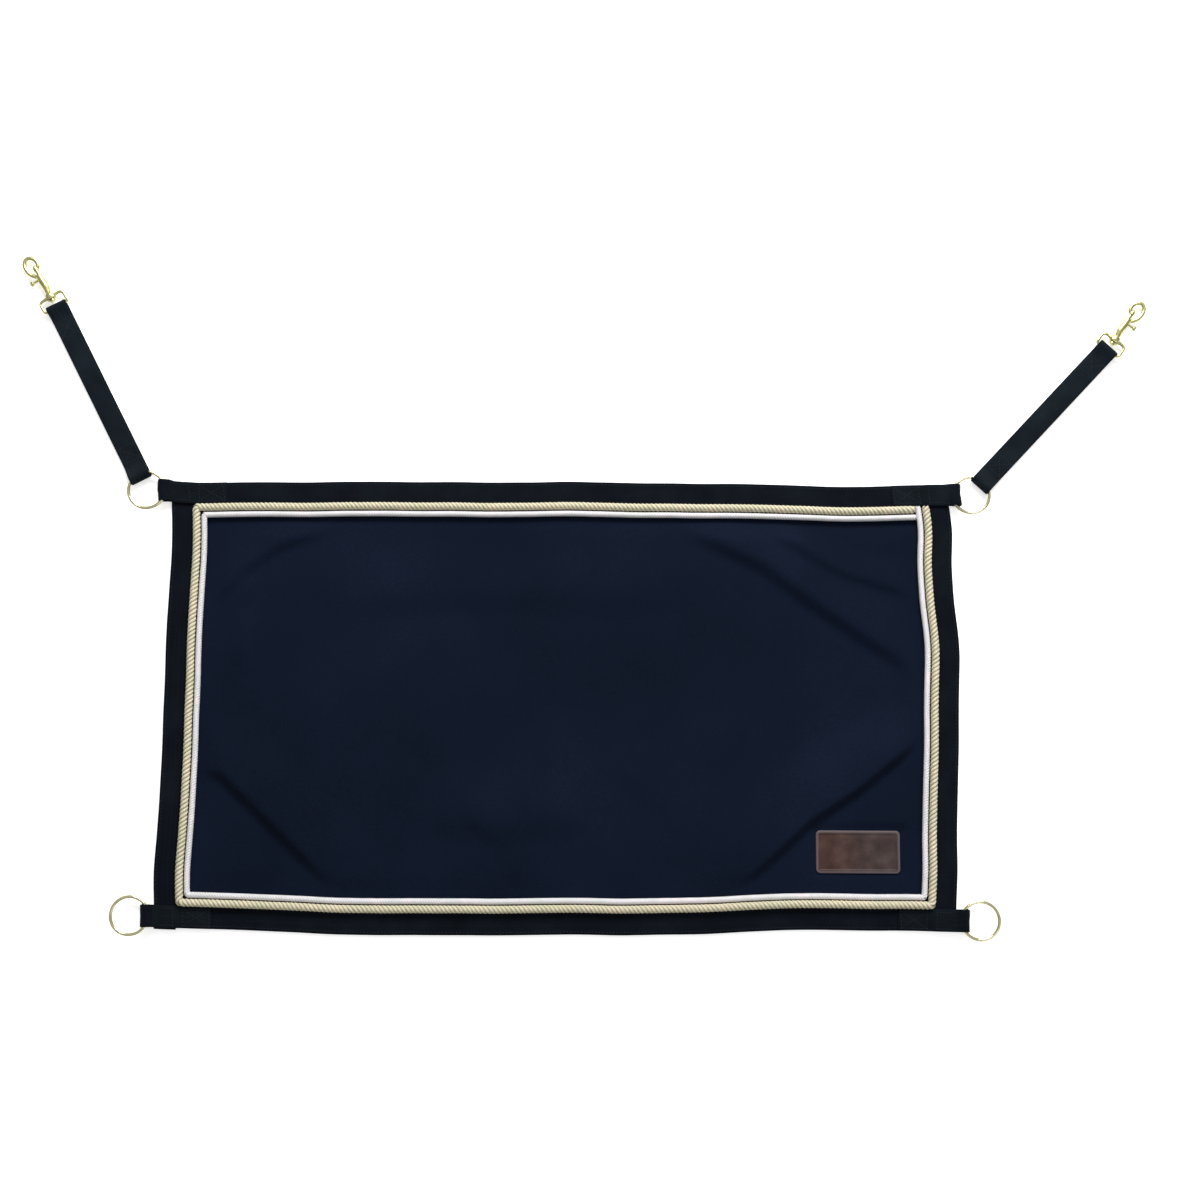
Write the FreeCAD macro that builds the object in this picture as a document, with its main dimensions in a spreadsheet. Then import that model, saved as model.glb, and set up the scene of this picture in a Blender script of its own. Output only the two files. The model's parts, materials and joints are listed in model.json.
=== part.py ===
"""Stable guard: a cloth panel edged with webbing, trimmed with a gold and a white cord, with a
ring sewn into each corner and a strap with a swivelling bolt snap on each of the two upper rings.

The guard lies flat, as it is laid out on a floor. X runs along the top edge to the right, Y
towards the top edge and Z up. The origin is at the panel's centre, on its underside. Millimetres.
"""
import FreeCAD, Part
import math
import os
import re
import Sketcher
from FreeCAD import Placement, Rotation, Vector

os.makedirs("parts", exist_ok=True)
doc = FreeCAD.newDocument("StableGuard")

# ---------------------------------------------------------------- driving sizes
SIZES = [
    ("panel_width", 900, "outer edge to outer edge of the side webbings"),
    ("panel_height", 510, "outer edge to outer edge of the top and bottom webbings"),
    ("cloth_thick", 1.2, "panel cloth"),
    ("webbing_wide", 25, "all webbing"),
    ("webbing_thick", 1.6, "all webbing"),
    ("patch_length", 65, "how far a folded-back tab end reaches in from the panel's edge"),
    ("patch_margin", 1.7, "how much narrower the folded-back end is, each side"),
    ("joggle_gap", 0.2, "clear of the side webbing's edge where a webbing steps down"),
    ("tab_stand", 2, "from the panel's edge to the tab's loop"),
    ("ring_bore", 38, "inside diameter of a ring"),
    ("ring_wire", 4, "wire diameter of a ring"),
    ("loop_clear", 0.3, "ring wire to the inside of a webbing loop"),
    ("gold_diameter", 9, "gold cord"),
    ("gold_overlap", 1.3, "how far the gold cord lies over the webbing's inner edge"),
    ("gold_lift", 0.35, "gold cord above the cloth"),
    ("gold_bend", 5, "centreline radius of the gold cord's corners"),
    ("white_diameter", 6.3, "white cord"),
    ("white_lift", 0.05, "white cord above the cloth"),
    ("white_bend", 3.4, "centreline radius of the white cord's corners"),
    ("cord_gap", 0.5, "between the two cords"),
    ("cord_end_gap", 0.3, "cord ends to the white cord that they butt against"),
    ("label_long", 95, "leather label"),
    ("label_tall", 48, "leather label"),
    ("label_thick", 2, "leather label"),
    ("label_corner", 5, "corner radius of the label"),
    ("label_from_side", 109, "label's centre to the panel's right edge"),
    ("label_from_base", 88, "label's centre to the panel's lower edge"),
    ("thread_wide", 0.7, "sewing thread"),
    ("thread_tall", 0.35, "sewing thread above what it holds"),
    ("thread_inset", 2.6, "seam to the edge of the webbing or label"),
    ("left_strap_length", 239, "left strap from fold to fold"),
    ("right_strap_length", 231.5, "right strap from fold to fold"),
    ("left_strap_turn", 117.7, "degrees from +X"),
    ("right_strap_turn", 46.9, "degrees from +X"),
    ("strap_seam_long", 14, "box seam at each end of a strap"),
    ("left_hook_lean", 5.5, "degrees that the left hook leans in its strap's loop"),
    ("right_hook_lean", 5.5, "degrees that the right hook leans in its strap's loop"),
    ("eye_wire", 3.6, "wire diameter of a swivel eye"),
    ("eye_side_gap", 0.9, "strap's edge to the eye's side"),
    ("eye_length", 14.9, "eye's bar to its crossbar, centre to centre"),
    ("eye_corner", 4.6, "centreline radius of the eye's corners at its crossbar"),
    ("eye_foot", 2.6, "centreline radius of the eye's corners at its bar"),
    ("bar_clear", 1.5, "eye's bar to the inside of the strap's loop"),
    ("boss_radius", 4.5, "swivel boss on the crossbar"),
    ("boss_length", 7.8, "swivel boss along the hook"),
    ("boss_root", 3, "crossbar's radius where it meets the boss"),
    ("boss_reach", 8.5, "how far the crossbar's taper reaches from the boss's centre"),
    ("stud_radius", 2, "swivel stud"),
    ("swivel_clear", 0.3, "stud, head and shoulder to the boss"),
    ("head_radius", 3.4, "riveted head of the swivel stud"),
    ("head_thick", 2.2, "riveted head of the swivel stud"),
    ("neck_radius", 3.1, "hook's shoulder at the boss"),
    ("barrel_radius", 4.3, "barrel that holds the bolt"),
    ("barrel_offset", 1.6, "barrel's axis to the swivel's axis"),
    ("barrel_start", 27, "eye's bar to the full barrel"),
    ("barrel_end", 44.5, "eye's bar to the barrel's mouth"),
    ("bolt_radius", 2.2, "spring bolt"),
    ("bolt_clear", 0.3, "bolt to its bore, and knob stem to its slot"),
    ("bolt_offset", 2.4, "bolt's axis to the swivel's axis"),
    ("bore_start", 27.5, "eye's bar to the bottom of the bolt's bore"),
    ("bolt_shoulder", 37.3, "eye's bar to the bolt's shoulder"),
    ("bolt_travel", 6.5, "how far the knob pulls the bolt back"),
    ("guide_radius", 0.9, "bolt's tail inside the spring"),
    ("guide_length", 3, "bolt's tail inside the spring"),
    ("throat", 6.5, "open throat from the barrel's mouth to the nose's cup"),
    ("cup_radius", 3, "cup at the tip of the nose"),
    ("cup_length", 3.4, "cup at the tip of the nose"),
    ("nose_wire", 4.8, "wire diameter of the hook's nose"),
    ("nose_width", 20, "outside width of the hook's nose"),
    ("hook_length", 72, "eye's bar to the tip of the hook"),
    ("nose_middle", 58.5, "eye's bar to the widest place of the nose"),
    ("knob_at", 39.6, "eye's bar to the thumb knob, bolt shut"),
    ("knob_radius", 3, "thumb knob"),
    ("knob_thick", 3.2, "thumb knob"),
    ("knob_reach", 12, "swivel's axis to the outside of the thumb knob"),
    ("stem_radius", 1.3, "thumb knob's stem"),
    ("stem_fit", 0.02, "stem to its hole in the bolt"),
    ("spring_radius", 1.7, "bolt spring, to the middle of its wire"),
    ("spring_wire", 0.5, "bolt spring"),
    ("spring_turns", 5, "bolt spring"),
    ("spring_gap", 0.1, "bolt spring's ends to their seats"),
]
sheet = doc.addObject("Spreadsheet::Sheet", "Sizes")
for row, (alias, value, note) in enumerate(SIZES, start=1):
    sheet.set(f"A{row}", note)
    sheet.set(f"B{row}", str(value))
    sheet.setAlias(f"B{row}", alias)
doc.recompute()


def size(alias):
    """A driving size as a plain number."""
    return float(sheet.get(alias))


NAMES = {alias for alias, value, note in SIZES}


def ex(text):
    """An expression in which each driving size stands for its cell in the sheet."""
    return re.sub("[a-z_]+", lambda m: "Sizes." + m[0] if m[0] in NAMES else m[0], str(text))


# ---------------------------------------------------------------- places, worked out from the sizes
RING_RADIUS = "(ring_bore / 2 + ring_wire / 2)"
# A ring's wire is an arc inside the webbing's width; its loop is a round pocket that just lets
# the arc turn over. The pocket's axis is this far from the ring's centre.
ARC_NEAR = "sqrt((ring_bore / 2) ^ 2 - (webbing_wide / 2) ^ 2)"
ARC_FAR = "(ring_bore / 2 + ring_wire)"
POCKET_AT = f"(({ARC_FAR} + {ARC_NEAR}) / 2)"
POCKET_RADIUS = f"(({ARC_FAR} - {ARC_NEAR}) / 2 + loop_clear)"
LOOP_RADIUS = f"({POCKET_RADIUS} + webbing_thick)"
LOOP_X = f"(panel_width / 2 + tab_stand + {LOOP_RADIUS})"
RING_X = f"({LOOP_X} + {POCKET_AT})"
RING_Y = "(panel_height / 2 - webbing_wide / 2)"
RING_Z = LOOP_RADIUS

# The upper loop of a strap holds the straight bar of the swivel eye.
BAR_POCKET = "(eye_wire / 2 + bar_clear)"
BAR_LOOP = f"({BAR_POCKET} + webbing_thick)"
HOOK_Z = BAR_LOOP
FOLD_AT = f"({POCKET_AT} - {LOOP_RADIUS})"
BAR_AT = {
    -1: f"({FOLD_AT} + left_strap_length - {BAR_LOOP})",
    1: f"({FOLD_AT} + right_strap_length - {BAR_LOOP})",
}

# Heights of the layers of webbing.
ON_CLOTH = "cloth_thick"
ON_ONE = "(cloth_thick + webbing_thick)"
ON_TWO = "(cloth_thick + 2 * webbing_thick)"
ON_THREE = "(cloth_thick + 3 * webbing_thick)"

# Centrelines of the cords, as insets from the panel's outer edge.
GOLD_INSET = "(webbing_wide - gold_overlap + gold_diameter / 2)"
WHITE_INSET = f"({GOLD_INSET} + gold_diameter / 2 + cord_gap + white_diameter / 2)"


def number(text):
    """The value of an expression of driving sizes."""
    return float(sheet.evalExpression(ex(text)))


# ---------------------------------------------------------------- small makers
def bind(thing, **sizes):
    """Bind properties of an object to expressions of the driving sizes."""
    for prop, text in sizes.items():
        thing.setExpression(prop.replace("__", "."), ex(text))
    return thing


def box(name, low, high):
    """A box from its low corner to its high corner."""
    thing = doc.addObject("Part::Box", name)
    for prop, letter, a, b in zip(("Length", "Width", "Height"), "xyz", low, high):
        thing.setExpression(prop, ex(f"({b}) - ({a})"))
        thing.setExpression("Placement.Base." + letter, ex(a))
    return thing


ALONG = {"x": Rotation(Vector(0, 1, 0), 90), "y": Rotation(Vector(1, 0, 0), -90), "z": Rotation()}


def rod(name, start, along, radius, length):
    """A cylinder from a start point along X, Y or Z."""
    thing = doc.addObject("Part::Cylinder", name)
    thing.Placement = Placement(Vector(), ALONG[along])
    bind(thing, Radius=radius, Height=length)
    for letter, text in zip("xyz", start):
        thing.setExpression("Placement.Base." + letter, ex(text))
    return thing


def taper(name, start, along, radius_a, radius_b, length):
    """A cone from a start point along X, Y or Z."""
    thing = doc.addObject("Part::Cone", name)
    thing.Placement = Placement(Vector(), ALONG[along])
    bind(thing, Radius1=radius_a, Radius2=radius_b, Height=length)
    for letter, text in zip("xyz", start):
        thing.setExpression("Placement.Base." + letter, ex(text))
    return thing


def fuse(name, pieces):
    thing = doc.addObject("Part::MultiFuse", name)
    thing.Shapes = pieces
    thing.Refine = True
    return thing


def cut(name, base, tool):
    thing = doc.addObject("Part::Cut", name)
    thing.Base, thing.Tool = base, tool
    thing.Refine = True
    return thing


def group(name, pieces):
    """Separate solids of one kind, kept as one sub-part."""
    thing = doc.addObject("Part::Compound", name)
    thing.Links = pieces
    return thing


def tube(name, path, radius):
    """A round wire along a path of edges."""
    start, direction = (f(path[0].FirstParameter) for f in (path[0].valueAt, path[0].tangentAt))
    section = Part.Wire([Part.makeCircle(radius, start, direction)])
    thing = doc.addObject("Part::Feature", name)
    thing.Shape = Part.Wire(path).makePipeShell([section], True, True)
    return thing


subparts = []


def keep(thing, node):
    """Name a finished sub-part after its node."""
    thing.Label = node
    subparts.append(thing)
    return thing


def place(thing, x, y, z, turn="0"):
    """Put a finished sub-part in its place, turned about Z."""
    thing.Placement = Placement(Vector(), Rotation(Vector(0, 0, 1), 1))
    for letter, text in zip("xyz", (x, y, z)):
        thing.setExpression("Placement.Base." + letter, ex(text))
    thing.setExpression("Placement.Rotation.Angle", ex(turn))
    return thing


# ---------------------------------------------------------------- panel
def panel_cloth():
    """The cloth, cut to the panel's full size: a sketched rectangle, padded."""
    body = doc.addObject("PartDesign::Body", "PanelCloth")
    sketch = body.newObject("Sketcher::SketchObject", "PanelOutline")
    plane = [f for f in body.Origin.OriginFeatures if f.Role == "XY_Plane"][0]
    sketch.AttachmentSupport = (plane, [""])
    sketch.MapMode = "FlatFace"
    corners = [Vector(-400, -200, 0), Vector(400, -200, 0), Vector(400, 200, 0), Vector(-400, 200, 0)]
    for i in range(4):
        sketch.addGeometry(Part.LineSegment(corners[i], corners[(i + 1) % 4]), False)
    for i in range(4):
        sketch.addConstraint(Sketcher.Constraint("Coincident", i, 2, (i + 1) % 4, 1))
    for i, way in enumerate(("Horizontal", "Vertical", "Horizontal", "Vertical")):
        sketch.addConstraint(Sketcher.Constraint(way, i))
    sketch.addConstraint(Sketcher.Constraint("Symmetric", 0, 1, 2, 1, -1, 1))
    wide = sketch.addConstraint(Sketcher.Constraint("DistanceX", 0, 1, 0, 2, 800))
    tall = sketch.addConstraint(Sketcher.Constraint("DistanceY", 1, 1, 1, 2, 400))
    sketch.setExpression(f"Constraints[{wide}]", ex("panel_width"))
    sketch.setExpression(f"Constraints[{tall}]", ex("panel_height"))
    pad = body.newObject("PartDesign::Pad", "PanelPad")
    pad.Profile = sketch
    bind(pad, Length="cloth_thick")
    keep(body, "panel_cloth")


def side_webbing(node, side):
    """The webbing up one side of the panel; side is -1 on the left and 1 on the right."""
    edge = f"{side} * panel_width / 2"
    inner = f"{side} * (panel_width / 2 - webbing_wide)"
    low, high = (edge, inner) if side < 0 else (inner, edge)
    thing = box(node, (low, "-panel_height / 2", ON_CLOTH), (high, "panel_height / 2", ON_ONE))
    keep(thing, node)


def tabbed_webbing(node, side):
    """A webbing along the top (side 1) or bottom (side -1) edge. It steps up over the side
    webbings, loops round the ring at each end and folds back on itself, sewn down."""
    outer = f"{side} * panel_height / 2"
    inner = f"{side} * (panel_height / 2 - webbing_wide)"
    y0, y1 = (inner, outer) if side > 0 else (outer, inner)
    fold0, fold1 = f"{y0} + patch_margin", f"{y1} - patch_margin"
    step = "(panel_width / 2 - webbing_wide - joggle_gap)"
    step_in = f"({step} - webbing_thick)"
    step_top = f"({step_in} - webbing_thick)"
    patch_end = "(panel_width / 2 - patch_length)"
    pieces = [box(node + "_middle", (f"-{step}", y0, ON_CLOTH), (step, y1, ON_ONE))]
    pockets = []
    for end in (-1, 1):
        def span(tag, near, far, low, high, a=y0, b=y1):
            x0, x1 = (f"-{far}", f"-{near}") if end < 0 else (near, far)
            pieces.append(box(f"{node}_{tag}_{end + 1}", (x0, a, low), (x1, b, high)))
        span("over", step_in, LOOP_X, ON_ONE, ON_TWO)
        span("back", step_top, LOOP_X, ON_TWO, ON_THREE, fold0, fold1)
        span("patch", patch_end, step_in, ON_ONE, ON_TWO, fold0, fold1)
        centre = (f"{end} * {LOOP_X}", y0, RING_Z)
        pieces.append(rod(f"{node}_loop_{end + 1}", centre, "y", LOOP_RADIUS, "webbing_wide"))
        pockets.append(rod(f"{node}_pocket_{end + 1}", centre, "y", POCKET_RADIUS, "webbing_wide"))
    keep(cut(node + "_cut", fuse(node + "_fused", pieces), fuse(node + "_pockets", pockets)), node)


# ---------------------------------------------------------------- cords
def cord_route(inset, bend, lift):
    """The edges that a trim cord follows: from the upper right corner down the right side, along
    the bottom, up the left side and along the top, back to its own right-hand run."""
    x, y = number(f"panel_width / 2 - {inset}"), number(f"panel_height / 2 - {inset}")
    band_top = number("panel_height / 2 - webbing_wide - cord_end_gap")
    end_x = number(f"panel_width / 2 - {WHITE_INSET} - white_diameter / 2 - cord_end_gap")
    points = [(x, band_top), (x, -y), (-x, -y), (-x, y), (end_x, y)]
    r = number(bend)
    edges, last = [], Vector(*points[0], lift)
    for before, corner, after in zip(points, points[1:], points[2:]):
        back = Vector(before[0] - corner[0], before[1] - corner[1], 0).normalize()
        on = Vector(after[0] - corner[0], after[1] - corner[1], 0).normalize()
        at = Vector(*corner, lift)
        start, end = at + back * r, at + on * r
        middle = at + (back + on) * r * (1 - math.sqrt(0.5))
        edges.append(Part.LineSegment(last, start).toShape())
        edges.append(Part.Arc(start, middle, end).toShape())
        last = end
    edges.append(Part.LineSegment(last, Vector(*points[-1], lift)).toShape())
    return edges


def trim_cord(node, inset, bend, diameter, lift):
    height = number(f"cloth_thick + {lift} + {diameter} / 2")
    route = cord_route(inset, bend, height)
    thing = keep(tube(node, route, number(diameter) / 2), node)
    length = sum(edge.Length for edge in route)
    area = math.pi * number(diameter) ** 2 / 4
    print(f"{node}: length {length:.1f} mm, volume {thing.Shape.Volume:.0f} for {area * length:.0f}")


# ---------------------------------------------------------------- thread
def seam(name, x0, x1, y0, y1, z):
    """One run of thread lying on a surface, from its low corner to its high corner."""
    return box(name, (x0, y0, z), (x1, y1, f"{z} + thread_tall"))


def seam_frame(name, x0, x1, y0, y1, z):
    """A box of four runs of thread."""
    t = "thread_wide"
    return fuse(name, [
        seam(name + "_w", x0, f"{x0} + {t}", y0, y1, z),
        seam(name + "_e", f"{x1} - {t}", x1, y0, y1, z),
        seam(name + "_s", x0, x1, y0, f"{y0} + {t}", z),
        seam(name + "_n", x0, x1, f"{y1} - {t}", y1, z),
    ])


def webbing_stitching():
    """Two seams along each webbing, in from its edges."""
    seams = []
    insets = ("thread_inset", "(webbing_wide - gold_overlap - thread_inset)")
    for i, inset in enumerate(insets):
        for side in (-1, 1):
            far = f"{side} * (panel_height / 2 - {inset})"
            reach = "(panel_width / 2 - patch_length - thread_inset)"
            y0, y1 = f"{far} - thread_wide / 2", f"{far} + thread_wide / 2"
            seams.append(seam(f"long_seam_{i}_{side + 1}", f"-{reach}", reach, y0, y1, ON_ONE))
            far = f"{side} * (panel_width / 2 - {inset})"
            reach = "(panel_height / 2 - webbing_wide - thread_inset)"
            x0, x1 = f"{far} - thread_wide / 2", f"{far} + thread_wide / 2"
            seams.append(seam(f"side_seam_{i}_{side + 1}", x0, x1, f"-{reach}", reach, ON_ONE))
    keep(group("WebbingStitching", seams), "webbing_stitching")


def tab_stitching():
    """A box seam through each folded-back tab end."""
    near = "(panel_width / 2 - patch_length + thread_inset)"
    far = "(panel_width / 2 - webbing_wide - joggle_gap - 2 * webbing_thick - thread_wide)"
    frames = []
    for side in (-1, 1):
        for end in (-1, 1):
            x0, x1 = (f"-{far}", f"-{near}") if end < 0 else (near, far)
            outer = "(panel_height / 2 - patch_margin - thread_inset)"
            inner = "(panel_height / 2 - webbing_wide + patch_margin + thread_inset)"
            y0, y1 = (f"-{outer}", f"-{inner}") if side < 0 else (inner, outer)
            frames.append(seam_frame(f"tab_seam_{side + 1}{end + 1}", x0, x1, y0, y1, ON_TWO))
    keep(group("TabStitching", frames), "tab_stitching")


def cord_stitching():
    """The thread in the groove between the two cords, all the way round."""
    inset = f"({GOLD_INSET} + gold_diameter / 2 + cord_gap / 2 - thread_wide / 2)"
    x, y = f"(panel_width / 2 - {inset})", f"(panel_height / 2 - {inset})"
    stop = f"(panel_width / 2 - {WHITE_INSET} - white_diameter / 2 - cord_end_gap)"
    t, z = "thread_wide", ON_CLOTH
    keep(fuse("CordStitching", [
        seam("cord_seam_e", f"{x} - {t}", x, f"-{y}", y, z),
        seam("cord_seam_s", f"-{x}", x, f"-{y}", f"-{y} + {t}", z),
        seam("cord_seam_w", f"-{x}", f"-{x} + {t}", f"-{y}", y, z),
        seam("cord_seam_n", f"-{x}", stop, f"{y} - {t}", y, z),
    ]), "cord_stitching")


# ---------------------------------------------------------------- label
LABEL_X = "(panel_width / 2 - label_from_side)"
LABEL_Y = "(label_from_base - panel_height / 2)"


def leather_label():
    """A plain leather patch with rounded corners, and the seam round its edge."""
    low = (f"{LABEL_X} - label_long / 2", f"{LABEL_Y} - label_tall / 2", ON_CLOTH)
    high = (f"{LABEL_X} + label_long / 2", f"{LABEL_Y} + label_tall / 2", f"{ON_CLOTH} + label_thick")
    blank = box("label_blank", low, high)
    doc.recompute()
    label = doc.addObject("Part::Fillet", "Label")
    label.Base = blank
    r = size("label_corner")
    upright = [i for i, e in enumerate(blank.Shape.Edges, 1) if abs(e.tangentAt(0).z) > 0.9]
    label.Edges = [(i, r, r) for i in upright]
    keep(label, "leather_label")
    t, top = "thread_inset", f"{ON_CLOTH} + label_thick"
    frame = seam_frame("label_seam", f"{low[0]} + {t}", f"{high[0]} - {t}",
                       f"{low[1]} + {t}", f"{high[1]} - {t}", top)
    keep(frame, "label_stitching")


# ---------------------------------------------------------------- rings and straps
def ring(node, end, side):
    """A welded ring in a tab's loop; end is -1 left, 1 right, and side is 1 top, -1 bottom."""
    thing = doc.addObject("Part::Torus", node)
    bind(thing, Radius1=RING_RADIUS, Radius2="ring_wire / 2")
    keep(place(thing, f"{end} * {RING_X}", f"{side} * {RING_Y}", RING_Z), node)


def strap(node, end, turn):
    """A strap of doubled webbing, looped round the ring and round the bar of its hook's eye."""
    half, wide = "webbing_wide / 2", "webbing_wide"
    slab = box(node + "_slab", (POCKET_AT, f"-{half}", "0"), (BAR_AT[end], half, "2 * webbing_thick"))
    low = (POCKET_AT, f"-{half}", RING_Z)
    high = (BAR_AT[end], f"-{half}", HOOK_Z)
    whole = fuse(node + "_fused", [
        slab,
        rod(node + "_ring_loop", low, "y", LOOP_RADIUS, wide),
        rod(node + "_bar_loop", high, "y", BAR_LOOP, wide),
    ])
    holes = fuse(node + "_holes", [
        rod(node + "_ring_pocket", low, "y", POCKET_RADIUS, wide),
        rod(node + "_bar_pocket", high, "y", BAR_POCKET, wide),
    ])
    thing = place(cut(node + "_cut", whole, holes), f"{end} * {RING_X}", RING_Y, "0", turn)
    keep(thing, node)


def strap_stitching(node, end, turn):
    """A box seam beside each loop of a strap."""
    half, top = "(webbing_wide / 2 - thread_inset)", "(2 * webbing_thick)"
    ring_end = f"({POCKET_AT} + {LOOP_RADIUS} + thread_wide)"
    bar_end = f"({BAR_AT[end]} - {BAR_LOOP} - thread_wide)"
    frames = [
        seam_frame(node + "_low", ring_end, f"{ring_end} + strap_seam_long", f"-{half}", half, top),
        seam_frame(node + "_high", f"{bar_end} - strap_seam_long", bar_end, f"-{half}", half, top),
    ]
    keep(place(group(node, frames), f"{end} * {RING_X}", RING_Y, "0", turn), node)


# ---------------------------------------------------------------- snap hooks
# Each hook is drawn along +X from the bar of its eye, then turned into line with its strap.
# hand is 1 on the left hook, whose thumb knob points to its left, and -1 on the right hook.
def hook_place(thing, end, turn, lean):
    x = f"{end} * {RING_X} + {BAR_AT[end]} * cos({turn})"
    y = f"{RING_Y} + {BAR_AT[end]} * sin({turn})"
    return place(thing, x, y, HOOK_Z, f"{turn} + {lean}")


def swivel_eye(node, where):
    """A rectangular wire eye with a bored boss in the middle of its crossbar."""
    half = number("webbing_wide / 2 + eye_side_gap + eye_wire / 2")
    far = size("eye_length")
    radii = [size("eye_foot"), size("eye_corner"), size("eye_corner"), size("eye_foot")]
    points = [Vector(0, -half, 0), Vector(far, -half, 0), Vector(far, half, 0), Vector(0, half, 0)]
    edges, ends = [], []
    for i, (corner, r) in enumerate(zip(points, radii)):
        back = (points[i - 1] - corner).normalize()
        on = (points[(i + 1) % 4] - corner).normalize()
        bend = Part.Arc(corner + back * r, corner + (back + on) * r * (1 - math.sqrt(0.5)), corner + on * r)
        ends.append((corner + back * r, corner + on * r, bend))
    for i, (start, end, bend) in enumerate(ends):
        edges.append(bend.toShape())
        edges.append(Part.LineSegment(end, ends[(i + 1) % 4][0]).toShape())
    wire = tube(node + "_wire", edges, size("eye_wire") / 2)
    start = "eye_length - boss_length / 2"
    boss = rod(node + "_boss", (start, "0", "0"), "x", "boss_radius", "boss_length")
    arms = []
    for tag, y, a, b in (("left", "0", "boss_root", "eye_wire / 2"),
                         ("right", "-boss_reach", "eye_wire / 2", "boss_root")):
        arms.append(taper(f"{node}_{tag}", ("eye_length", y, "0"), "y", a, b, "boss_reach"))
    bore = rod(node + "_bore", (f"{start} - 5", "0", "0"), "x", "stud_radius + swivel_clear",
               "boss_length + 10")
    keep(hook_place(cut(node + "_cut", fuse(node + "_fused", [wire, boss] + arms), bore), *where), node)


def hook_body(node, hand, where):
    """The cast hook: riveted stud, tapering neck, barrel bored for the bolt, and the nose."""
    boss_end = "(eye_length + boss_length / 2 + swivel_clear)"
    head_end = "(eye_length - boss_length / 2 - swivel_clear)"
    barrel_y = f"-{hand} * barrel_offset"
    pieces = [
        rod(node + "_head", (f"{head_end} - head_thick", "0", "0"), "x", "head_radius", "head_thick"),
        rod(node + "_stud", (head_end, "0", "0"), "x", "stud_radius", f"{boss_end} - {head_end}"),
        rod(node + "_barrel", ("barrel_start", barrel_y, "0"), "x", "barrel_radius",
            "barrel_end - barrel_start"),
    ]
    # the neck swells into the barrel, whose axis stands to one side
    neck = doc.addObject("Part::Feature", node + "_swell")
    rings = [
        Part.Wire([Part.makeCircle(number("neck_radius"), Vector(number(boss_end), 0, 0), Vector(1, 0, 0))]),
        Part.Wire([Part.makeCircle(size("barrel_radius"),
                                   Vector(size("barrel_start"), -hand * size("barrel_offset"), 0),
                                   Vector(1, 0, 0))]),
    ]
    neck.Shape = Part.makeLoft(rings, True)
    pieces.append(neck)
    # the nose leaves the barrel's mouth on the knob's side and comes round to the cup
    wide = number("(nose_width - nose_wire) / 2")
    top = number("hook_length - nose_wire / 2")
    middle, mouth = size("nose_middle"), size("barrel_end")
    cup_at, cup_y = number("barrel_end + throat"), size("bolt_offset")
    rise = top - middle
    line = [
        (mouth - 1, 0.07 * wide), (mouth + 2.2, 0.50 * wide), (middle - 7, 0.88 * wide),
        (middle, wide), (middle + 0.68 * rise, 0.74 * wide), (top, 0),
        (middle + 0.68 * rise, -0.74 * wide), (middle, -wide),
        (cup_at + 3.6, -0.80 * wide), (cup_at + 1.4, -cup_y - 0.6),
    ]
    curve = Part.BSplineCurve()
    curve.interpolate([Vector(x, hand * y, 0) for x, y in line])
    pieces.append(tube(node + "_nose", [curve.toShape()], size("nose_wire") / 2))
    bolt_y = f"-{hand} * bolt_offset"
    pieces.append(rod(node + "_cup", ("barrel_end + throat", bolt_y, "0"), "x", "cup_radius", "cup_length"))
    dome = doc.addObject("Part::Sphere", node + "_dome")
    bind(dome, Radius="cup_radius", Placement__Base__x="barrel_end + throat + cup_length",
         Placement__Base__y=bolt_y)
    pieces.append(dome)
    bore = rod(node + "_bore", ("bore_start", bolt_y, "0"), "x", "bolt_radius + bolt_clear",
               "barrel_end + throat - bore_start")
    slot = "(stem_radius + bolt_clear)"
    y0, y1 = (bolt_y, "barrel_radius * 2") if hand > 0 else ("-barrel_radius * 2", bolt_y)
    slot_box = box(node + "_slot", (f"knob_at - bolt_travel - {slot}", y0, f"-{slot}"),
                   (f"knob_at + {slot}", y1, slot))
    keep(hook_place(cut(node + "_cut", fuse(node + "_fused", pieces), fuse(node + "_space", [bore, slot_box])),
                    *where), node)


def spring_bolt(node, hand, where):
    """The bolt that shuts the throat, with its tail and the cross hole for the knob's stem."""
    y = f"-{hand} * bolt_offset"
    tip = "(barrel_end + throat - bolt_clear)"
    whole = fuse(node + "_fused", [
        rod(node + "_rod", ("bolt_shoulder", y, "0"), "x", "bolt_radius", f"{tip} - bolt_shoulder"),
        rod(node + "_tail", ("bolt_shoulder - guide_length", y, "0"), "x", "guide_radius", "guide_length"),
    ])
    start = y if hand > 0 else f"{y} - bolt_radius * 2"
    hole = rod(node + "_hole", ("knob_at", start, "0"), "y", "stem_radius + stem_fit", "bolt_radius * 2")
    keep(hook_place(cut(node + "_cut", whole, hole), *where), node)


def thumb_knob(node, hand, where):
    """The thumb knob on its stem, which stands in the bolt's cross hole."""
    root, face = "-bolt_offset", "(knob_reach - knob_thick)"
    if hand > 0:
        stem = rod(node + "_stem", ("knob_at", root, "0"), "y", "stem_radius", f"{face} + bolt_offset")
        disc = rod(node + "_disc", ("knob_at", face, "0"), "y", "knob_radius", "knob_thick")
    else:
        stem = rod(node + "_stem", ("knob_at", f"-{face}", "0"), "y", "stem_radius", f"{face} + bolt_offset")
        disc = rod(node + "_disc", ("knob_at", "-knob_reach", "0"), "y", "knob_radius", "knob_thick")
    keep(hook_place(fuse(node + "_fused", [stem, disc]), *where), node)


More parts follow.
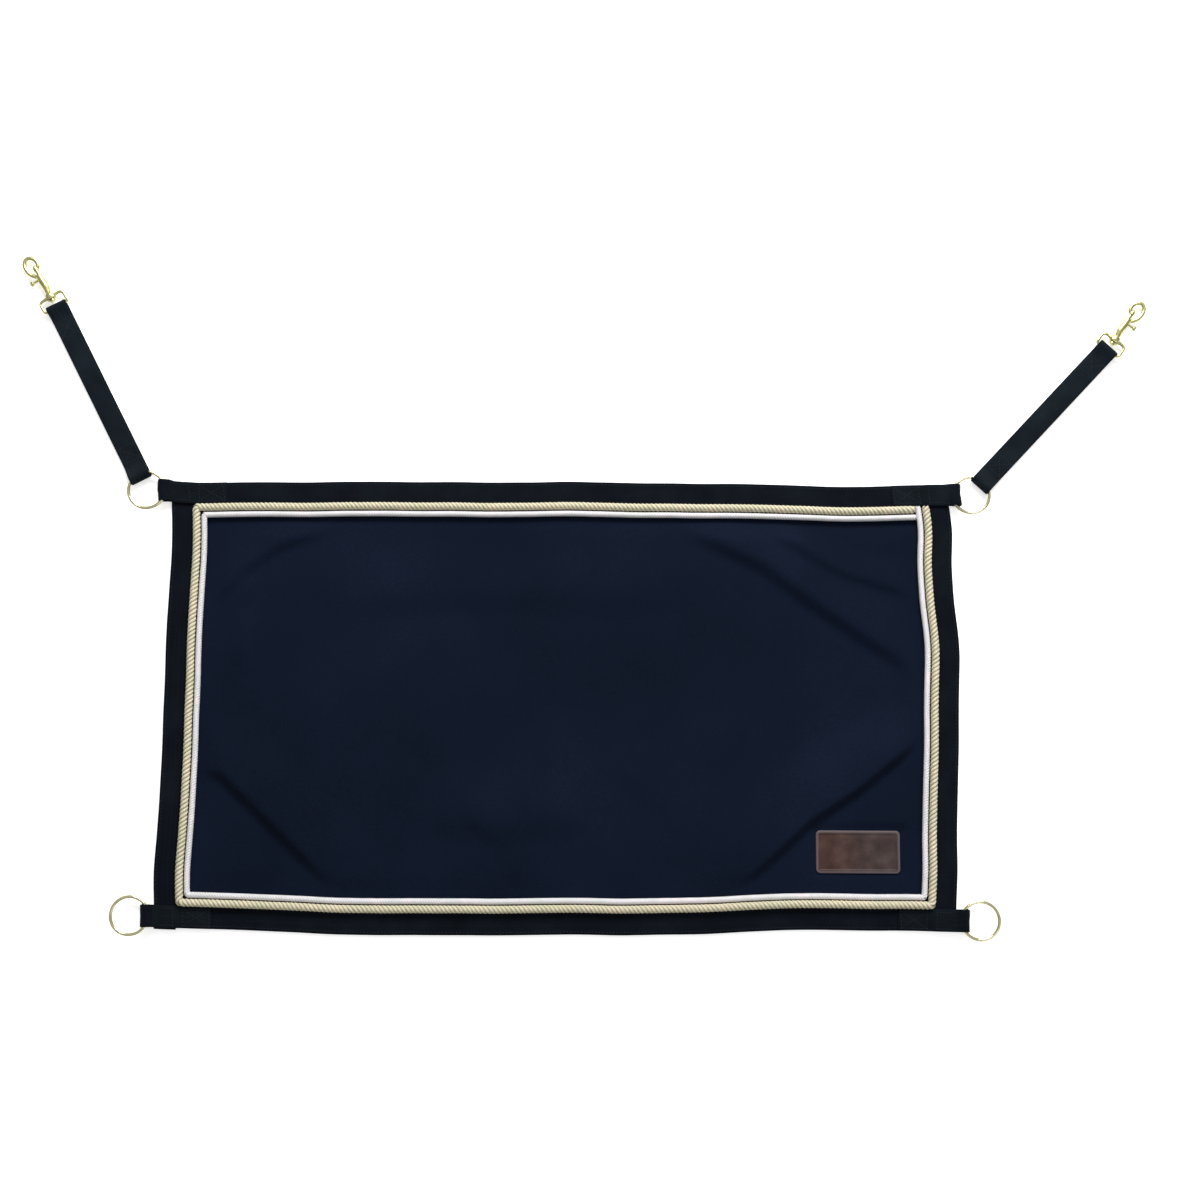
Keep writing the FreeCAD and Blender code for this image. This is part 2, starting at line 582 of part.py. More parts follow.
def bolt_spring(node, hand, where):
    """The compression spring behind the bolt."""
    start = number("bore_start + spring_gap + spring_wire / 2")
    long = number("bolt_shoulder - bore_start - 2 * spring_gap - spring_wire")
    turns, r = size("spring_turns"), size("spring_radius")
    coil = Part.makeHelix(long / turns, long, r)
    coil.Placement = Placement(Vector(start, -hand * size("bolt_offset"), 0), Rotation(Vector(0, 1, 0), 90))
    edge = coil.Edges[0]
    section = Part.Wire([Part.makeCircle(size("spring_wire") / 2, edge.valueAt(edge.FirstParameter),
                                         edge.tangentAt(edge.FirstParameter))])
    thing = doc.addObject("Part::Feature", node)
    thing.Shape = Part.Wire(coil.Edges).makePipeShell([section], True, True)
    keep(hook_place(thing, *where), node)


def snap_hook(word, end, hand, turn, lean):
    where = (end, turn, lean)
    swivel_eye(word + "_swivel_eye", where)
    hook_body(word + "_hook_body", hand, where)
    spring_bolt(word + "_spring_bolt", hand, where)
    thumb_knob(word + "_thumb_knob", hand, where)
    bolt_spring(word + "_bolt_spring", hand, where)


# ---------------------------------------------------------------- the guard
panel_cloth()
side_webbing("left_side_webbing", -1)
side_webbing("right_side_webbing", 1)
tabbed_webbing("top_webbing", 1)
tabbed_webbing("bottom_webbing", -1)
trim_cord("gold_cord", GOLD_INSET, "gold_bend", "gold_diameter", "gold_lift")
trim_cord("white_cord", WHITE_INSET, "white_bend", "white_diameter", "white_lift")
webbing_stitching()
tab_stitching()
cord_stitching()
leather_label()
for word, end in (("left", -1), ("right", 1)):
    ring(f"upper_{word}_ring", end, 1)
    ring(f"lower_{word}_ring", end, -1)
    strap(f"{word}_strap", end, f"{word}_strap_turn")
    strap_stitching(f"{word}_strap_stitching", end, f"{word}_strap_turn")
snap_hook("left", -1, 1, "left_strap_turn", "left_hook_lean")
snap_hook("right", 1, -1, "right_strap_turn", "right_hook_lean")
doc.recompute()

# ---------------------------------------------------------------- check and write
for thing in doc.Objects:
    if {"Invalid", "Error"} & set(thing.State):
        raise RuntimeError(f"{thing.Label} did not compute: {thing.State}")
for thing in subparts:
    shape = thing.Shape
    if shape.isNull() or not shape.isValid() or not shape.Solids:
        raise RuntimeError(f"{thing.Label} is not a valid solid")
for thing in subparts:
    thing.Shape.exportStep(f"parts/{thing.Label}.step")
    print(f"{thing.Label}: {len(thing.Shape.Solids)} solid, {thing.Shape.Volume:.0f} mm3")
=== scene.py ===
"""A horse's stable guard, laid out flat: cloth panel, edge webbing, two twisted trim cords, a leather
label, corner rings, and straps that end in swivelling bolt snaps. Metres, in the model's own frame."""
import json
import math

import bmesh
import bpy
from bpy.props import FloatProperty, FloatVectorProperty, PointerProperty
from mathutils import Matrix, Vector, noise


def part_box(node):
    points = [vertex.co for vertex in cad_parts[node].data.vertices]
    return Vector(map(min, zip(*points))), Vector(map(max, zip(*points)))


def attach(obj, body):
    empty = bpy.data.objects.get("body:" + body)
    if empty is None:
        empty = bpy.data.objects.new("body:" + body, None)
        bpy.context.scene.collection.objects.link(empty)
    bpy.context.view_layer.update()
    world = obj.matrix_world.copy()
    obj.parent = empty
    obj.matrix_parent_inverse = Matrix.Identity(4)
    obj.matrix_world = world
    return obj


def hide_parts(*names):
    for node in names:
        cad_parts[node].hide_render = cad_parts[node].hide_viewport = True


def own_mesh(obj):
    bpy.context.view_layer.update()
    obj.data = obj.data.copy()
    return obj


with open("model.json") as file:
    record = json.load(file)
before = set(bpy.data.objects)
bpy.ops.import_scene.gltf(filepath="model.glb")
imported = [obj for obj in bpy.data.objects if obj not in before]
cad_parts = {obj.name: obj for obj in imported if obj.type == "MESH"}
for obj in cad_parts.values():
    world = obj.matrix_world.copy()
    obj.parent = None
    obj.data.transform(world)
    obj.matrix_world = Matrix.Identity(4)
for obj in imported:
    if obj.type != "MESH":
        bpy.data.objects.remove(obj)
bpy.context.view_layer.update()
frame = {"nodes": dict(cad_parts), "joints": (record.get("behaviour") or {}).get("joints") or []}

bl_info = {
    "name": "Stable Guard",
    "version": (1, 0, 0),
    "blender": (4, 5, 0),
    "location": "3D View > Sidebar > Stable Guard",
    "description": "Builds a stable guard with its webbing, cords, label, rings and bolt snaps",
    "category": "Object",
}

MM = 0.001
UP = Vector((0, 0, 1))


# ---------------------------------------------------------------- places, read from the frame
def corners(node):
    low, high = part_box(node)
    return Vector(low), Vector(high)


def extent(node):
    low, high = corners(node)
    return high - low


def joint(name):
    return next(j for j in frame["joints"] if j["name"] == name)


HALF_X, HALF_Y = corners("panel_cloth")[1].xy
CLOTH = extent("panel_cloth").z
WEB = extent("left_side_webbing").x
PLY = extent("left_side_webbing").z
LOOP_X = Vector(joint("upper_right_ring_flap")["pos_m"]).x
RING = (corners("upper_right_ring")[0] + corners("upper_right_ring")[1]) / 2
TAB_LOOP = corners("top_webbing")[1].z / 2
GOLD = extent("gold_cord").z
WHITE = extent("white_cord").z
GOLD_AT = HALF_X - corners("gold_cord")[1].x + GOLD / 2
WHITE_AT = HALF_X - corners("white_cord")[1].x + WHITE / 2
GOLD_Z = corners("gold_cord")[0].z + GOLD / 2
WHITE_Z = corners("white_cord")[0].z + WHITE / 2
LABEL_LOW, LABEL_HIGH = corners("leather_label")
SIDES = {"left": -1, "right": 1}

# heights of the middle of each layer of webbing, from the floor
LAYER = [CLOTH + PLY * (i + 0.5) for i in range(3)]


def smooth(a, b, x):
    """0 below a, 1 above b, and a smooth rise between them."""
    t = min(1.0, max(0.0, (x - a) / (b - a)))
    return t * t * (3 - 2 * t)


def bump(x, centre, width):
    return math.exp(-(((x - centre) / width) ** 2))


# ---------------------------------------------------------------- how the guard lies
# Fold lines in the cloth: points along each, the height of its crest, and how far it falls away
# to the left and to the right of the line as it is followed. The steeper side is in shade.
FOLDS = [
    ([(0.200, -0.206), (0.244, -0.168), (0.282, -0.132), (0.334, -0.096), (0.416, -0.026)], 9.5, 75, 10),
    ([(0.140, 0.210), (0.238, 0.164), (0.301, 0.116), (0.352, 0.078), (0.412, 0.036)], 8.0, 60, 20),
    ([(0.240, 0.205), (0.325, 0.156), (0.408, 0.128)], 4.5, 34, 13),
    ([(0.390, 0.060), (0.402, 0.000), (0.395, -0.060)], 3.2, 14, 26),
    ([(-0.412, -0.072), (-0.378, -0.080), (-0.323, -0.130), (-0.250, -0.194)], 8.4, 70, 14),
    ([(-0.268, 0.206), (-0.330, 0.182), (-0.372, 0.150), (-0.400, 0.112)], 5.0, 15, 45),
    ([(-0.352, 0.150), (-0.366, 0.110), (-0.360, 0.040)], 3.4, 14, 34),
    ([(-0.300, 0.120), (-0.120, 0.132), (0.060, 0.128), (0.170, 0.138)], 3.4, 60, 36),
    ([(-0.150, -0.120), (-0.060, -0.128), (0.030, -0.120)], 4.6, 60, 34),
    ([(-0.110, -0.110), (-0.060, -0.150), (-0.035, -0.195)], 1.8, 40, 20),
    ([(0.060, -0.060), (0.120, -0.100), (0.170, -0.160)], 1.4, 50, 26),
]


def fold_height(x, y, line, crest, left, right):
    """Height of one fold at a point: a soft crest, steeper on one side, dying away at its ends."""
    best, along, side, total = 1e9, 0.0, 1.0, 0.0
    for (ax, ay), (bx, by) in zip(line, line[1:]):
        dx, dy = bx - ax, by - ay
        length = math.hypot(dx, dy)
        t = min(1.0, max(0.0, ((x - ax) * dx + (y - ay) * dy) / length ** 2))
        px, py = x - ax - t * dx, y - ay - t * dy
        away = math.hypot(px, py)
        if away < best:
            best, along = away, total + t * length
            side = 1.0 if dx * py - dy * px >= 0 else -1.0
        total += length
    fall = (left if side > 0 else right) * MM
    ends = smooth(-0.02, 0.22 * total, along) * (1 - smooth(0.78 * total, total + 0.02, along))
    return crest * MM * ends * (1 - smooth(0, fall, best))


def inside(x, y):
    """1 well inside the cords, 0 at them."""
    edge = WHITE_AT + WHITE / 2
    margin = min(HALF_X - abs(x), HALF_Y - abs(y)) - edge
    return smooth(-0.002, 0.030, margin)


def off_label(x, y):
    """0 under the label, rising to 1 beside it."""
    gap = 1.5 * MM
    dx = max(LABEL_LOW.x - gap - x, x - LABEL_HIGH.x - gap, 0)
    dy = max(LABEL_LOW.y - gap - y, y - LABEL_HIGH.y - gap, 0)
    return smooth(0, 0.007, math.hypot(dx, dy))


def drape(x, y):
    """How far the cloth's underside stands off the floor."""
    free = inside(x, y)
    if free == 0:
        return 0.0
    swell = 2.6 * MM * (noise.noise(Vector((x * 5.0, y * 6.0, 3.7))) + 0.62)
    ripple = 0.6 * MM * (noise.noise(Vector((x * 16 + y * 9, y * 14 - x * 7, 8.1))) + 0.3)
    folds = sum(fold_height(x, y, *f) for f in FOLDS)
    return free * off_label(x, y) * max(0.0, swell + ripple + folds)


# How each edge wanders out of true: the side or end that it is on, then for each swell the place
# along the edge, its width and how far it moves the edge to the right or up.
WANDER_X = {
    1: [(0.010, 0.180, 8.2), (0.066, 0.042, 3.0), (0.205, 0.030, 4.6), (-0.190, 0.030, 1.6)],
    -1: [(0.010, 0.180, 1.6), (0.190, 0.065, 4.2), (-0.195, 0.045, -3.8)],
}
WANDER_Y = {
    1: [(-0.430, 0.060, -5.5), (-0.310, 0.050, -1.6), (0.015, 0.050, 1.3), (0.335, 0.070, -3.8)],
    -1: [(-0.050, 0.360, -7.2), (-0.230, 0.090, -2.6), (0.020, 0.050, 1.2), (0.280, 0.085, 4.6),
         (0.400, 0.045, 2.4)],
}


def slack(x, y):
    """How far the laid-out edges wander from a true rectangle, in the plane of the floor."""
    u, v = x / HALF_X, y / (HALF_Y - WEB / 2)
    keep_x, keep_y = max(0.0, 1 - v * v) ** 0.35, max(0.0, 1 - u * u) ** 0.35
    dx = sum(far * bump(y, at, wide) for at, wide, far in WANDER_X[1 if u > 0 else -1])
    dy = sum(far * bump(x, at, wide) for at, wide, far in WANDER_Y[1 if v > 0 else -1])
    dx *= MM * keep_x * smooth(0.1, 1.0, abs(u))
    dy *= MM * keep_y * smooth(0.0, 1.0, abs(v))
    calm = max(0.0, 1 - abs(u * v) ** 6) * smooth(0.55, 0.95, max(abs(u), abs(v)))
    dx += 0.5 * MM * calm * keep_x * noise.noise(Vector((x * 7, y * 23, 1.3)))
    dy += 0.5 * MM * calm * keep_y * noise.noise(Vector((x * 21, y * 7, 5.9)))
    return dx, dy


def laid(point):
    """A point of the guard, drawn true and flat, moved to where it lies."""
    dx, dy = slack(point.x, point.y)
    return Vector((point.x + dx, point.y + dy, point.z + drape(point.x, point.y)))


# ---------------------------------------------------------------- mesh makers
def piece(name, verts, faces, material, uvs=None, soft=True):
    """A mesh object at the origin, from vertices in the model's frame; uvs are one per vertex of
    each face, in metres."""
    mesh = bpy.data.meshes.new(name)
    mesh.from_pydata([tuple(v) for v in verts], [], faces)
    if uvs:
        layer = mesh.uv_layers.new(name="UVMap")
        layer.data.foreach_set("uv", [c for uv in uvs for c in uv])
    return finished(name, mesh, material, soft)


def added(name, data):
    """A new object in the scene that holds this data."""
    thing = bpy.data.objects.new(name, data)
    bpy.context.scene.collection.objects.link(thing)
    return thing


def finished(name, mesh, material, soft=True):
    for polygon in mesh.polygons:
        polygon.use_smooth = soft
    mesh.materials.clear()
    mesh.materials.append(material)
    mesh.validate()
    return added(name, mesh)


def applied(thing):
    """The plain mesh that an object's curve or modifiers make. The object itself is removed."""
    depsgraph = bpy.context.evaluated_depsgraph_get()
    mesh = bpy.data.meshes.new_from_object(thing.evaluated_get(depsgraph))
    bpy.data.objects.remove(thing)
    return mesh


def finish_piece(thing, body, slot, *nodes):
    """The frame calls that every piece of the guard gets."""
    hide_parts(*nodes)
    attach(thing, body)
    return thing


def outward(mesh):
    """Turn every face of a closed mesh outwards."""
    work = bmesh.new()
    work.from_mesh(mesh)
    bmesh.ops.recalc_face_normals(work, faces=work.faces)
    work.to_mesh(mesh)
    work.free()


def loft(rows, row_us, vs, closed=False):
    """Vertices, faces and uvs of a skin over rows of points, each row a closed ring. vs has one
    more value than a row has points, because the ring meets itself. Ends are capped."""
    verts = [p for row in rows for p in row]
    count, total = len(rows[0]), len(rows)
    faces, uvs = [], []
    for i in range(total if closed else total - 1):
        j = (i + 1) % total
        for k in range(count):
            n = (k + 1) % count
            faces.append((i * count + k, i * count + n, j * count + n, j * count + k))
            u0, u1 = row_us[i], row_us[i + 1]
            uvs += [(u0, vs[k]), (u0, vs[k + 1]), (u1, vs[k + 1]), (u1, vs[k])]
    if not closed:
        for row, order in ((0, range(count - 1, -1, -1)), (total - 1, range(count))):
            faces.append(tuple(row * count + k for k in order))
            uvs += [(row_us[row], vs[k]) for k in order]
    return verts, faces, uvs


def distances(points, closed=False):
    out = [0.0]
    for a, b in zip(points, points[1:] + (points[:1] if closed else [])):
        out.append(out[-1] + (b - a).length)
    return out


def evened(points, step, rounds=0):
    """The same line with points a step apart, its corners eased by a few rounds of averaging."""
    marks = distances(points)
    count = max(2, round(marks[-1] / step))
    line, k = [], 0
    for i in range(count + 1):
        s = marks[-1] * i / count
        while k < len(marks) - 2 and marks[k + 1] < s:
            k += 1
        span = max(marks[k + 1] - marks[k], 1e-9)
        line.append(points[k].lerp(points[k + 1], (s - marks[k]) / span))
    for _ in range(rounds):
        line = [line[0]] + [(a + 2 * b + c) / 4 for a, b, c in zip(line, line[1:], line[2:])] + [line[-1]]
    return line


def thinned(points, tangent_change=0.06, longest=5 * MM):
    """The points of a fine line that its bends need."""
    kept, last_dir = [points[0]], (points[1] - points[0]).normalized()
    for a, b in zip(points[1:-1], points[2:]):
        way = (b - a).normalized()
        if (a - kept[-1]).length >= longest or way.angle(last_dir, 0) > tangent_change:
            kept.append(a)
            last_dir = way
    return kept + [points[-1]]


def ribbon(name, path, across, material, closed=False, settle=laid):
    """A flat woven strip with rolled edges. path is the middle of its thickness, across the way of
    its width."""
    half, lip = WEB / 2, PLY / 2
    spread = [-1.0, -0.66, -0.33, 0.0, 0.33, 0.66, 1.0]
    top = [(s * (half - lip * 0.9), lip * (1.0 if abs(s) < 0.9 else 0.94)) for s in spread]
    rim = [(half - lip * 0.25, lip * 0.6), (half, 0.0), (half - lip * 0.25, -lip * 0.6)]
    section = top + rim + [(a, -b) for a, b in reversed(top)] + [(-a, b) for a, b in reversed(rim)]
    vs = [a + half for a, b in section] + [section[0][0] + half]
    marks = distances(path, closed)
    rows = []
    for i, at in enumerate(path):
        if closed:
            tangent = (path[(i + 1) % len(path)] - path[i - 1]).normalized()
        else:
            tangent = (path[min(i + 1, len(path) - 1)] - path[max(i - 1, 0)]).normalized()
        normal = across.cross(tangent).normalized()
        rows.append([settle(at + across * a + normal * b) for a, b in section])
    verts, faces, uvs = loft(rows, marks + ([marks[-1]] if closed else []), vs, closed)
    thing = piece(name, verts, faces, material, uvs)
    outward(thing.data)
    return thing


def rope(name, route, thickness, lay, sides, strand_share, material, seed):
    """Three strands twisted round each other along a level route of evenly spaced points."""
    route_marks = distances(route)
    radius = thickness / 2
    strand = radius * strand_share
    orbit = radius - strand
    all_verts, all_faces, all_uvs, groove_shading = [], [], [], []
    for k in range(3):
        rows, us, length, last = [], [], 0.0, None
        for i, at in enumerate(route):
            way = (route[min(i + 1, len(route) - 1)] - route[max(i - 1, 0)]).normalized()
            beside = UP.cross(way).normalized()
            s = route_marks[i]
            uneven = noise.noise(Vector((s * 40, seed, 0.0)))
            turn = 2 * math.pi * s / lay + 2 * math.pi * k / 3 + 0.5 * uneven
            out = beside * math.cos(turn) + UP * math.sin(turn)
            centre = at + out * orbit
            ahead = -beside * math.sin(turn) + UP * math.cos(turn)
            tangent = (way + ahead * (2 * math.pi * orbit / lay)).normalized()
            beyond = tangent.cross(out).normalized()
            end = min(s, route_marks[-1] - s) / radius
            cap = math.sqrt(max(0.05, 1 - (1 - min(1.0, end)) ** 2))
            fat = strand * cap * (1 + 0.05 * noise.noise(Vector((s * 120, seed + k, 2.0))))
            rows.append([centre + (out * math.cos(a) + beyond * math.sin(a)) * fat
                         for a in (2 * math.pi * j / sides for j in range(sides))])
            # Painted shade: each strand is darker on its side that faces the rope's middle, where strands
            # meet.
            groove_shading += [smooth(-0.1, 0.95, math.cos(2 * math.pi * j / sides)) for j in range(sides)]
            length += (centre - last).length if last else 0.0
            last = centre
            us.append(length)
        vs = [2 * math.pi * strand * j / sides for j in range(sides + 1)]
        verts, faces, uvs = loft(rows, us, vs)
        start = len(all_verts)
        all_verts += verts
        all_faces += [tuple(v + start for v in f) for f in faces]
        all_uvs += uvs
    thing = piece(name, all_verts, all_faces, material, all_uvs)
    # Kept as a colour that the cord's finish reads for its painted shade.
    layer = thing.data.color_attributes.new("Depth", "FLOAT_COLOR", "POINT")
    layer.data.foreach_set("color", [c for d in groove_shading for c in (d, d, d, 1.0)])
    outward(thing.data)
    return thing


def turned(name, profile, place, material, steps=48):
    """A lathe-turned piece with a bore: profile is (distance along, radius) pairs, all the way
    round its section."""
    rows, marks = [], [0.0]
    for (x, r), (next_x, next_r) in zip(profile, profile[1:] + profile[:1]):
        rows.append([place @ Vector((x, r * math.cos(a), r * math.sin(a)))
                     for a in (2 * math.pi * j / steps for j in range(steps))])
        marks.append(marks[-1] + math.hypot(next_x - x, next_r - r))
    verts, faces, uvs = loft(rows, marks, [0.01 * j / steps for j in range(steps + 1)], closed=True)
    thing = piece(name, verts, faces, material, uvs)
    outward(thing.data)
    return thing


def merged_copy(node):
    """A copy of a CAD node's mesh, with the corners that its faces share made one."""
    mesh = frame["nodes"][node].data.copy()
    work = bmesh.new()
    work.from_mesh(mesh)
    bmesh.ops.remove_doubles(work, verts=work.verts, dist=1e-6)
    work.to_mesh(mesh)
    work.free()
    return mesh


def cast_copy(name, node, grain, rounds, material):
    """A CAD node's shape with the soft edges of a casting: remeshed finely, then smoothed."""
    raw = added(name + "_raw", merged_copy(node))
    fine = raw.modifiers.new("Fine", "REMESH")
    fine.mode, fine.voxel_size = "VOXEL", grain
    ease = raw.modifiers.new("Ease", "SMOOTH")
    ease.factor, ease.iterations = 0.5, rounds
    return finished(name, applied(raw), material)


# ---------------------------------------------------------------- stitches, by geometry nodes
def stitch_tree():
    """A node tree that lays a row of stitches along each line of a mesh of edges."""
    tree = bpy.data.node_groups.new("Stitch Row", "GeometryNodeTree")
    face = tree.interface
    face.new_socket(name="Lines", in_out="INPUT", socket_type="NodeSocketGeometry")
    for name, default in (("Pitch", 4 * MM), ("Stitch Length", 3 * MM), ("Thread Radius", 0.4 * MM)):
        socket = face.new_socket(name=name, in_out="INPUT", socket_type="NodeSocketFloat")
        socket.default_value, socket.min_value, socket.subtype = default, 0.0, "DISTANCE"
    seed = face.new_socket(name="Seed", in_out="INPUT", socket_type="NodeSocketInt")
    seed.default_value = 4
    face.new_socket(name="Thread", in_out="INPUT", socket_type="NodeSocketMaterial")
    face.new_socket(name="Stitches", in_out="OUTPUT", socket_type="NodeSocketGeometry")
    add = tree.nodes.new
    given, out = add("NodeGroupInput"), add("NodeGroupOutput")
    curve, spaced = add("GeometryNodeMeshToCurve"), add("GeometryNodeResampleCurve")
    spaced.mode = "LENGTH"
    tangent, turn = add("GeometryNodeInputTangent"), add("FunctionNodeAlignRotationToVector")
    turn.axis = "X"
    ball, size = add("GeometryNodeMeshUVSphere"), add("ShaderNodeCombineXYZ")
    for socket, number in (("Segments", 8), ("Rings", 5), ("Radius", 1.0)):
        ball.inputs[socket].default_value = number
    half = add("ShaderNodeMath")
    half.operation, half.inputs[1].default_value = "MULTIPLY", 0.5
    vary = add("FunctionNodeRandomValue")
    vary.data_type = "FLOAT_VECTOR"
    vary.inputs[0].default_value = (0.92, 0.90, 0.85)
    vary.inputs[1].default_value = (1.06, 1.10, 1.15)
    scaled = add("ShaderNodeVectorMath")
    scaled.operation = "MULTIPLY"
    place, real = add("GeometryNodeInstanceOnPoints"), add("GeometryNodeRealizeInstances")
    shade, coat = add("GeometryNodeSetShadeSmooth"), add("GeometryNodeSetMaterial")
    for source, output, target, entry in (
            (given, "Lines", curve, "Mesh"), (curve, "Curve", spaced, "Curve"),
            (given, "Pitch", spaced, "Length"), (tangent, "Tangent", turn, "Vector"),
            (given, "Stitch Length", half, 0), (half, 0, size, "X"),
            (given, "Thread Radius", size, "Y"), (given, "Thread Radius", size, "Z"),
            (given, "Seed", vary, "Seed"), (size, 0, scaled, 0), (vary, 0, scaled, 1),
            (spaced, "Curve", place, "Points"), (ball, "Mesh", place, "Instance"),
            (turn, "Rotation", place, "Rotation"), (scaled, 0, place, "Scale"),
            (place, "Instances", real, "Geometry"), (real, "Geometry", shade, "Geometry"),
            (shade, "Geometry", coat, "Geometry"), (given, "Thread", coat, "Material"),
            (coat, "Geometry", out, "Stitches")):
        tree.links.new(source.outputs[output], target.inputs[entry])
    return tree


def stitch_lines(name, lines, material, pitch, stitch, radius):
    """One piece of stitches, a row along each line of points."""
    verts, edges = [], []
    for line in lines:
        start = len(verts)
        verts += [tuple(p) for p in line]
        edges += [(start + i, start + i + 1) for i in range(len(line) - 1)]
    mesh = bpy.data.meshes.new(name + "_lines")
    mesh.from_pydata(verts, edges, [])
    guide = added(name + "_lines", mesh)
    tree = bpy.data.node_groups.get("Stitch Row") or stitch_tree()
    rows = guide.modifiers.new("Stitches", "NODES")
    rows.node_group = tree
    sockets = {i.name: i.identifier for i in tree.interface.items_tree if i.item_type == "SOCKET"}
    for socket, value in (("Pitch", pitch), ("Stitch Length", stitch), ("Thread Radius", radius),
                          ("Thread", material)):
        rows[sockets[socket]] = value
    result = applied(guide)
    if not result.polygons:
        raise RuntimeError(name + " has no stitches")
    return finished(name, result, material)


# ---------------------------------------------------------------- finishes
class Finish:
    """A material, with short calls for the nodes that its maker needs."""

    def __init__(self, name, colour, roughness, **constants):
        self.material = bpy.data.materials.new(name)
        self.material.use_nodes = True
        self.tree = self.material.node_tree
        self.shader = self.tree.nodes["Principled BSDF"]
        self.shader.inputs["Base Color"].default_value = (*colour, 1)
        self.shader.inputs["Roughness"].default_value = roughness
        for socket, number in constants.items():
            self.shader.inputs[socket.replace("_", " ")].default_value = number
        self.last_bump = None

    def put(self, socket, value):
        """Link a socket to another node's output, or set it to a constant."""
        if isinstance(value, bpy.types.NodeSocket):
            self.tree.links.new(value, socket)
        else:
            socket.default_value = value

    def node(self, kind, **inputs):
        made = self.tree.nodes.new(kind)
        for name, value in inputs.items():
            self.put(made.inputs[name.replace("_", " ")], value)
        return made

    def coordinates(self, uv=False, scale=(1, 1, 1), turn=0.0):
        source = self.tree.nodes.new("ShaderNodeTexCoord").outputs["UV" if uv else "Object"]
        return self.node("ShaderNodeMapping", Vector=source, Scale=scale,
                         Rotation=(0, 0, turn)).outputs[0]

    def noise(self, where, scale, detail=4.0, roughness=0.55):
        return self.node("ShaderNodeTexNoise", Vector=where, Scale=scale, Detail=detail,
                         Roughness=roughness).outputs[0]

    def wave(self, where, period, distortion=0.0, direction="X"):
        """Ridges a period apart along one direction, in metres."""
        made = self.node("ShaderNodeTexWave", Vector=where, Scale=2 * math.pi / 20 / period,
                         Distortion=distortion, Detail=1.0)
        made.bands_direction = direction
        return made.outputs["Fac"]

    def math(self, kind, a, b=0.0):
        made = self.tree.nodes.new("ShaderNodeMath")
        made.operation = kind
        self.put(made.inputs[0], a)
        self.put(made.inputs[1], b)
        return made.outputs[0]

    def ramp(self, factor, stops):
        made = self.node("ShaderNodeValToRGB", Fac=factor)
        while len(made.color_ramp.elements) < len(stops):
            made.color_ramp.elements.new(0.5)
        for element, (at, colour) in zip(made.color_ramp.elements, stops):
            element.position, element.color = at, (*colour, 1)
        return made.outputs["Color"]

    def colour(self, socket):
        self.tree.links.new(socket, self.shader.inputs["Base Color"])

    def mixed(self, factor, a, b, kind="MIX"):
        made = self.tree.nodes.new("ShaderNodeMix")
        made.data_type, made.blend_type = "RGBA", kind
        for socket, value in ((made.inputs[0], factor), (made.inputs[6], a), (made.inputs[7], b)):
            self.put(socket, (*value, 1) if isinstance(value, tuple) else value)
        return made.outputs[2]

    def rough(self, factor, low, high):
        made = self.node("ShaderNodeMapRange", Value=factor, To_Min=low, To_Max=high)
        self.tree.links.new(made.outputs[0], self.shader.inputs["Roughness"])

    def bump(self, height, strength, distance):
        made = self.node("ShaderNodeBump", Height=height, Strength=strength, Distance=distance)
        if self.last_bump:
            self.tree.links.new(self.last_bump, made.inputs["Normal"])
        self.last_bump = made.outputs[0]
        self.tree.links.new(self.last_bump, self.shader.inputs["Normal"])


def tinted(colour, factors):
    """A colour scaled by one number, or by one each for its red, green and blue."""
    if not isinstance(factors, tuple):
        factors = (factors,) * 3
    return tuple(min(1.0, part * factor) for part, factor in zip(colour, factors))


def coarse_weave(f, where, thread, column):
    """Height of a chevron weave: slanting threads that change direction from column to column."""
    turns = []
    for angle in (math.radians(38), math.radians(-38)):
        slanted = f.node("ShaderNodeMapping", Vector=where, Rotation=(0, 0, angle)).outputs[0]
        turns.append(f.wave(slanted, thread, 0.6))
    side = f.math("GREATER_THAN", f.wave(where, column, 0.0, "Y"), 0.5)
    a = f.math("MULTIPLY", turns[0], side)
    b = f.math("MULTIPLY", turns[1], f.math("SUBTRACT", 1.0, side))
    return f.math("ADD", a, b)


def cloth_finish(navy, sheen):
    deep, lifted = tinted(navy, (0.75, 0.784, 0.757)), tinted(navy, (1.389, 1.270, 1.254))
    f = Finish("Navy Cloth", navy, 0.8, Sheen_Weight=sheen, Sheen_Roughness=0.5,
               Specular_IOR_Level=0.04)
    where = f.coordinates()
    weave = f.math("MULTIPLY", f.wave(where, 0.00095, 0.5), f.wave(where, 0.00095, 0.5, "Y"))
    broad = f.noise(where, 4.5, 3.0)
    grain = f.noise(where, 420, 3.0, 0.7)
    tone = f.ramp(broad, [(0.3, deep), (0.5, navy), (0.72, lifted)])
    speck = f.ramp(grain, [(0.3, (0.78, 0.78, 0.8)), (0.7, (1.22, 1.21, 1.2))])
    threads = f.ramp(weave, [(0.0, (0.8, 0.8, 0.82)), (0.8, (1.15, 1.14, 1.12))])
    f.colour(f.mixed(1.0, f.mixed(1.0, tone, speck, "MULTIPLY"), threads, "MULTIPLY"))
    f.rough(grain, 0.7, 0.9)
    f.bump(weave, 0.5, 0.00025)
    f.bump(grain, 0.3, 0.0003)
    return f.material


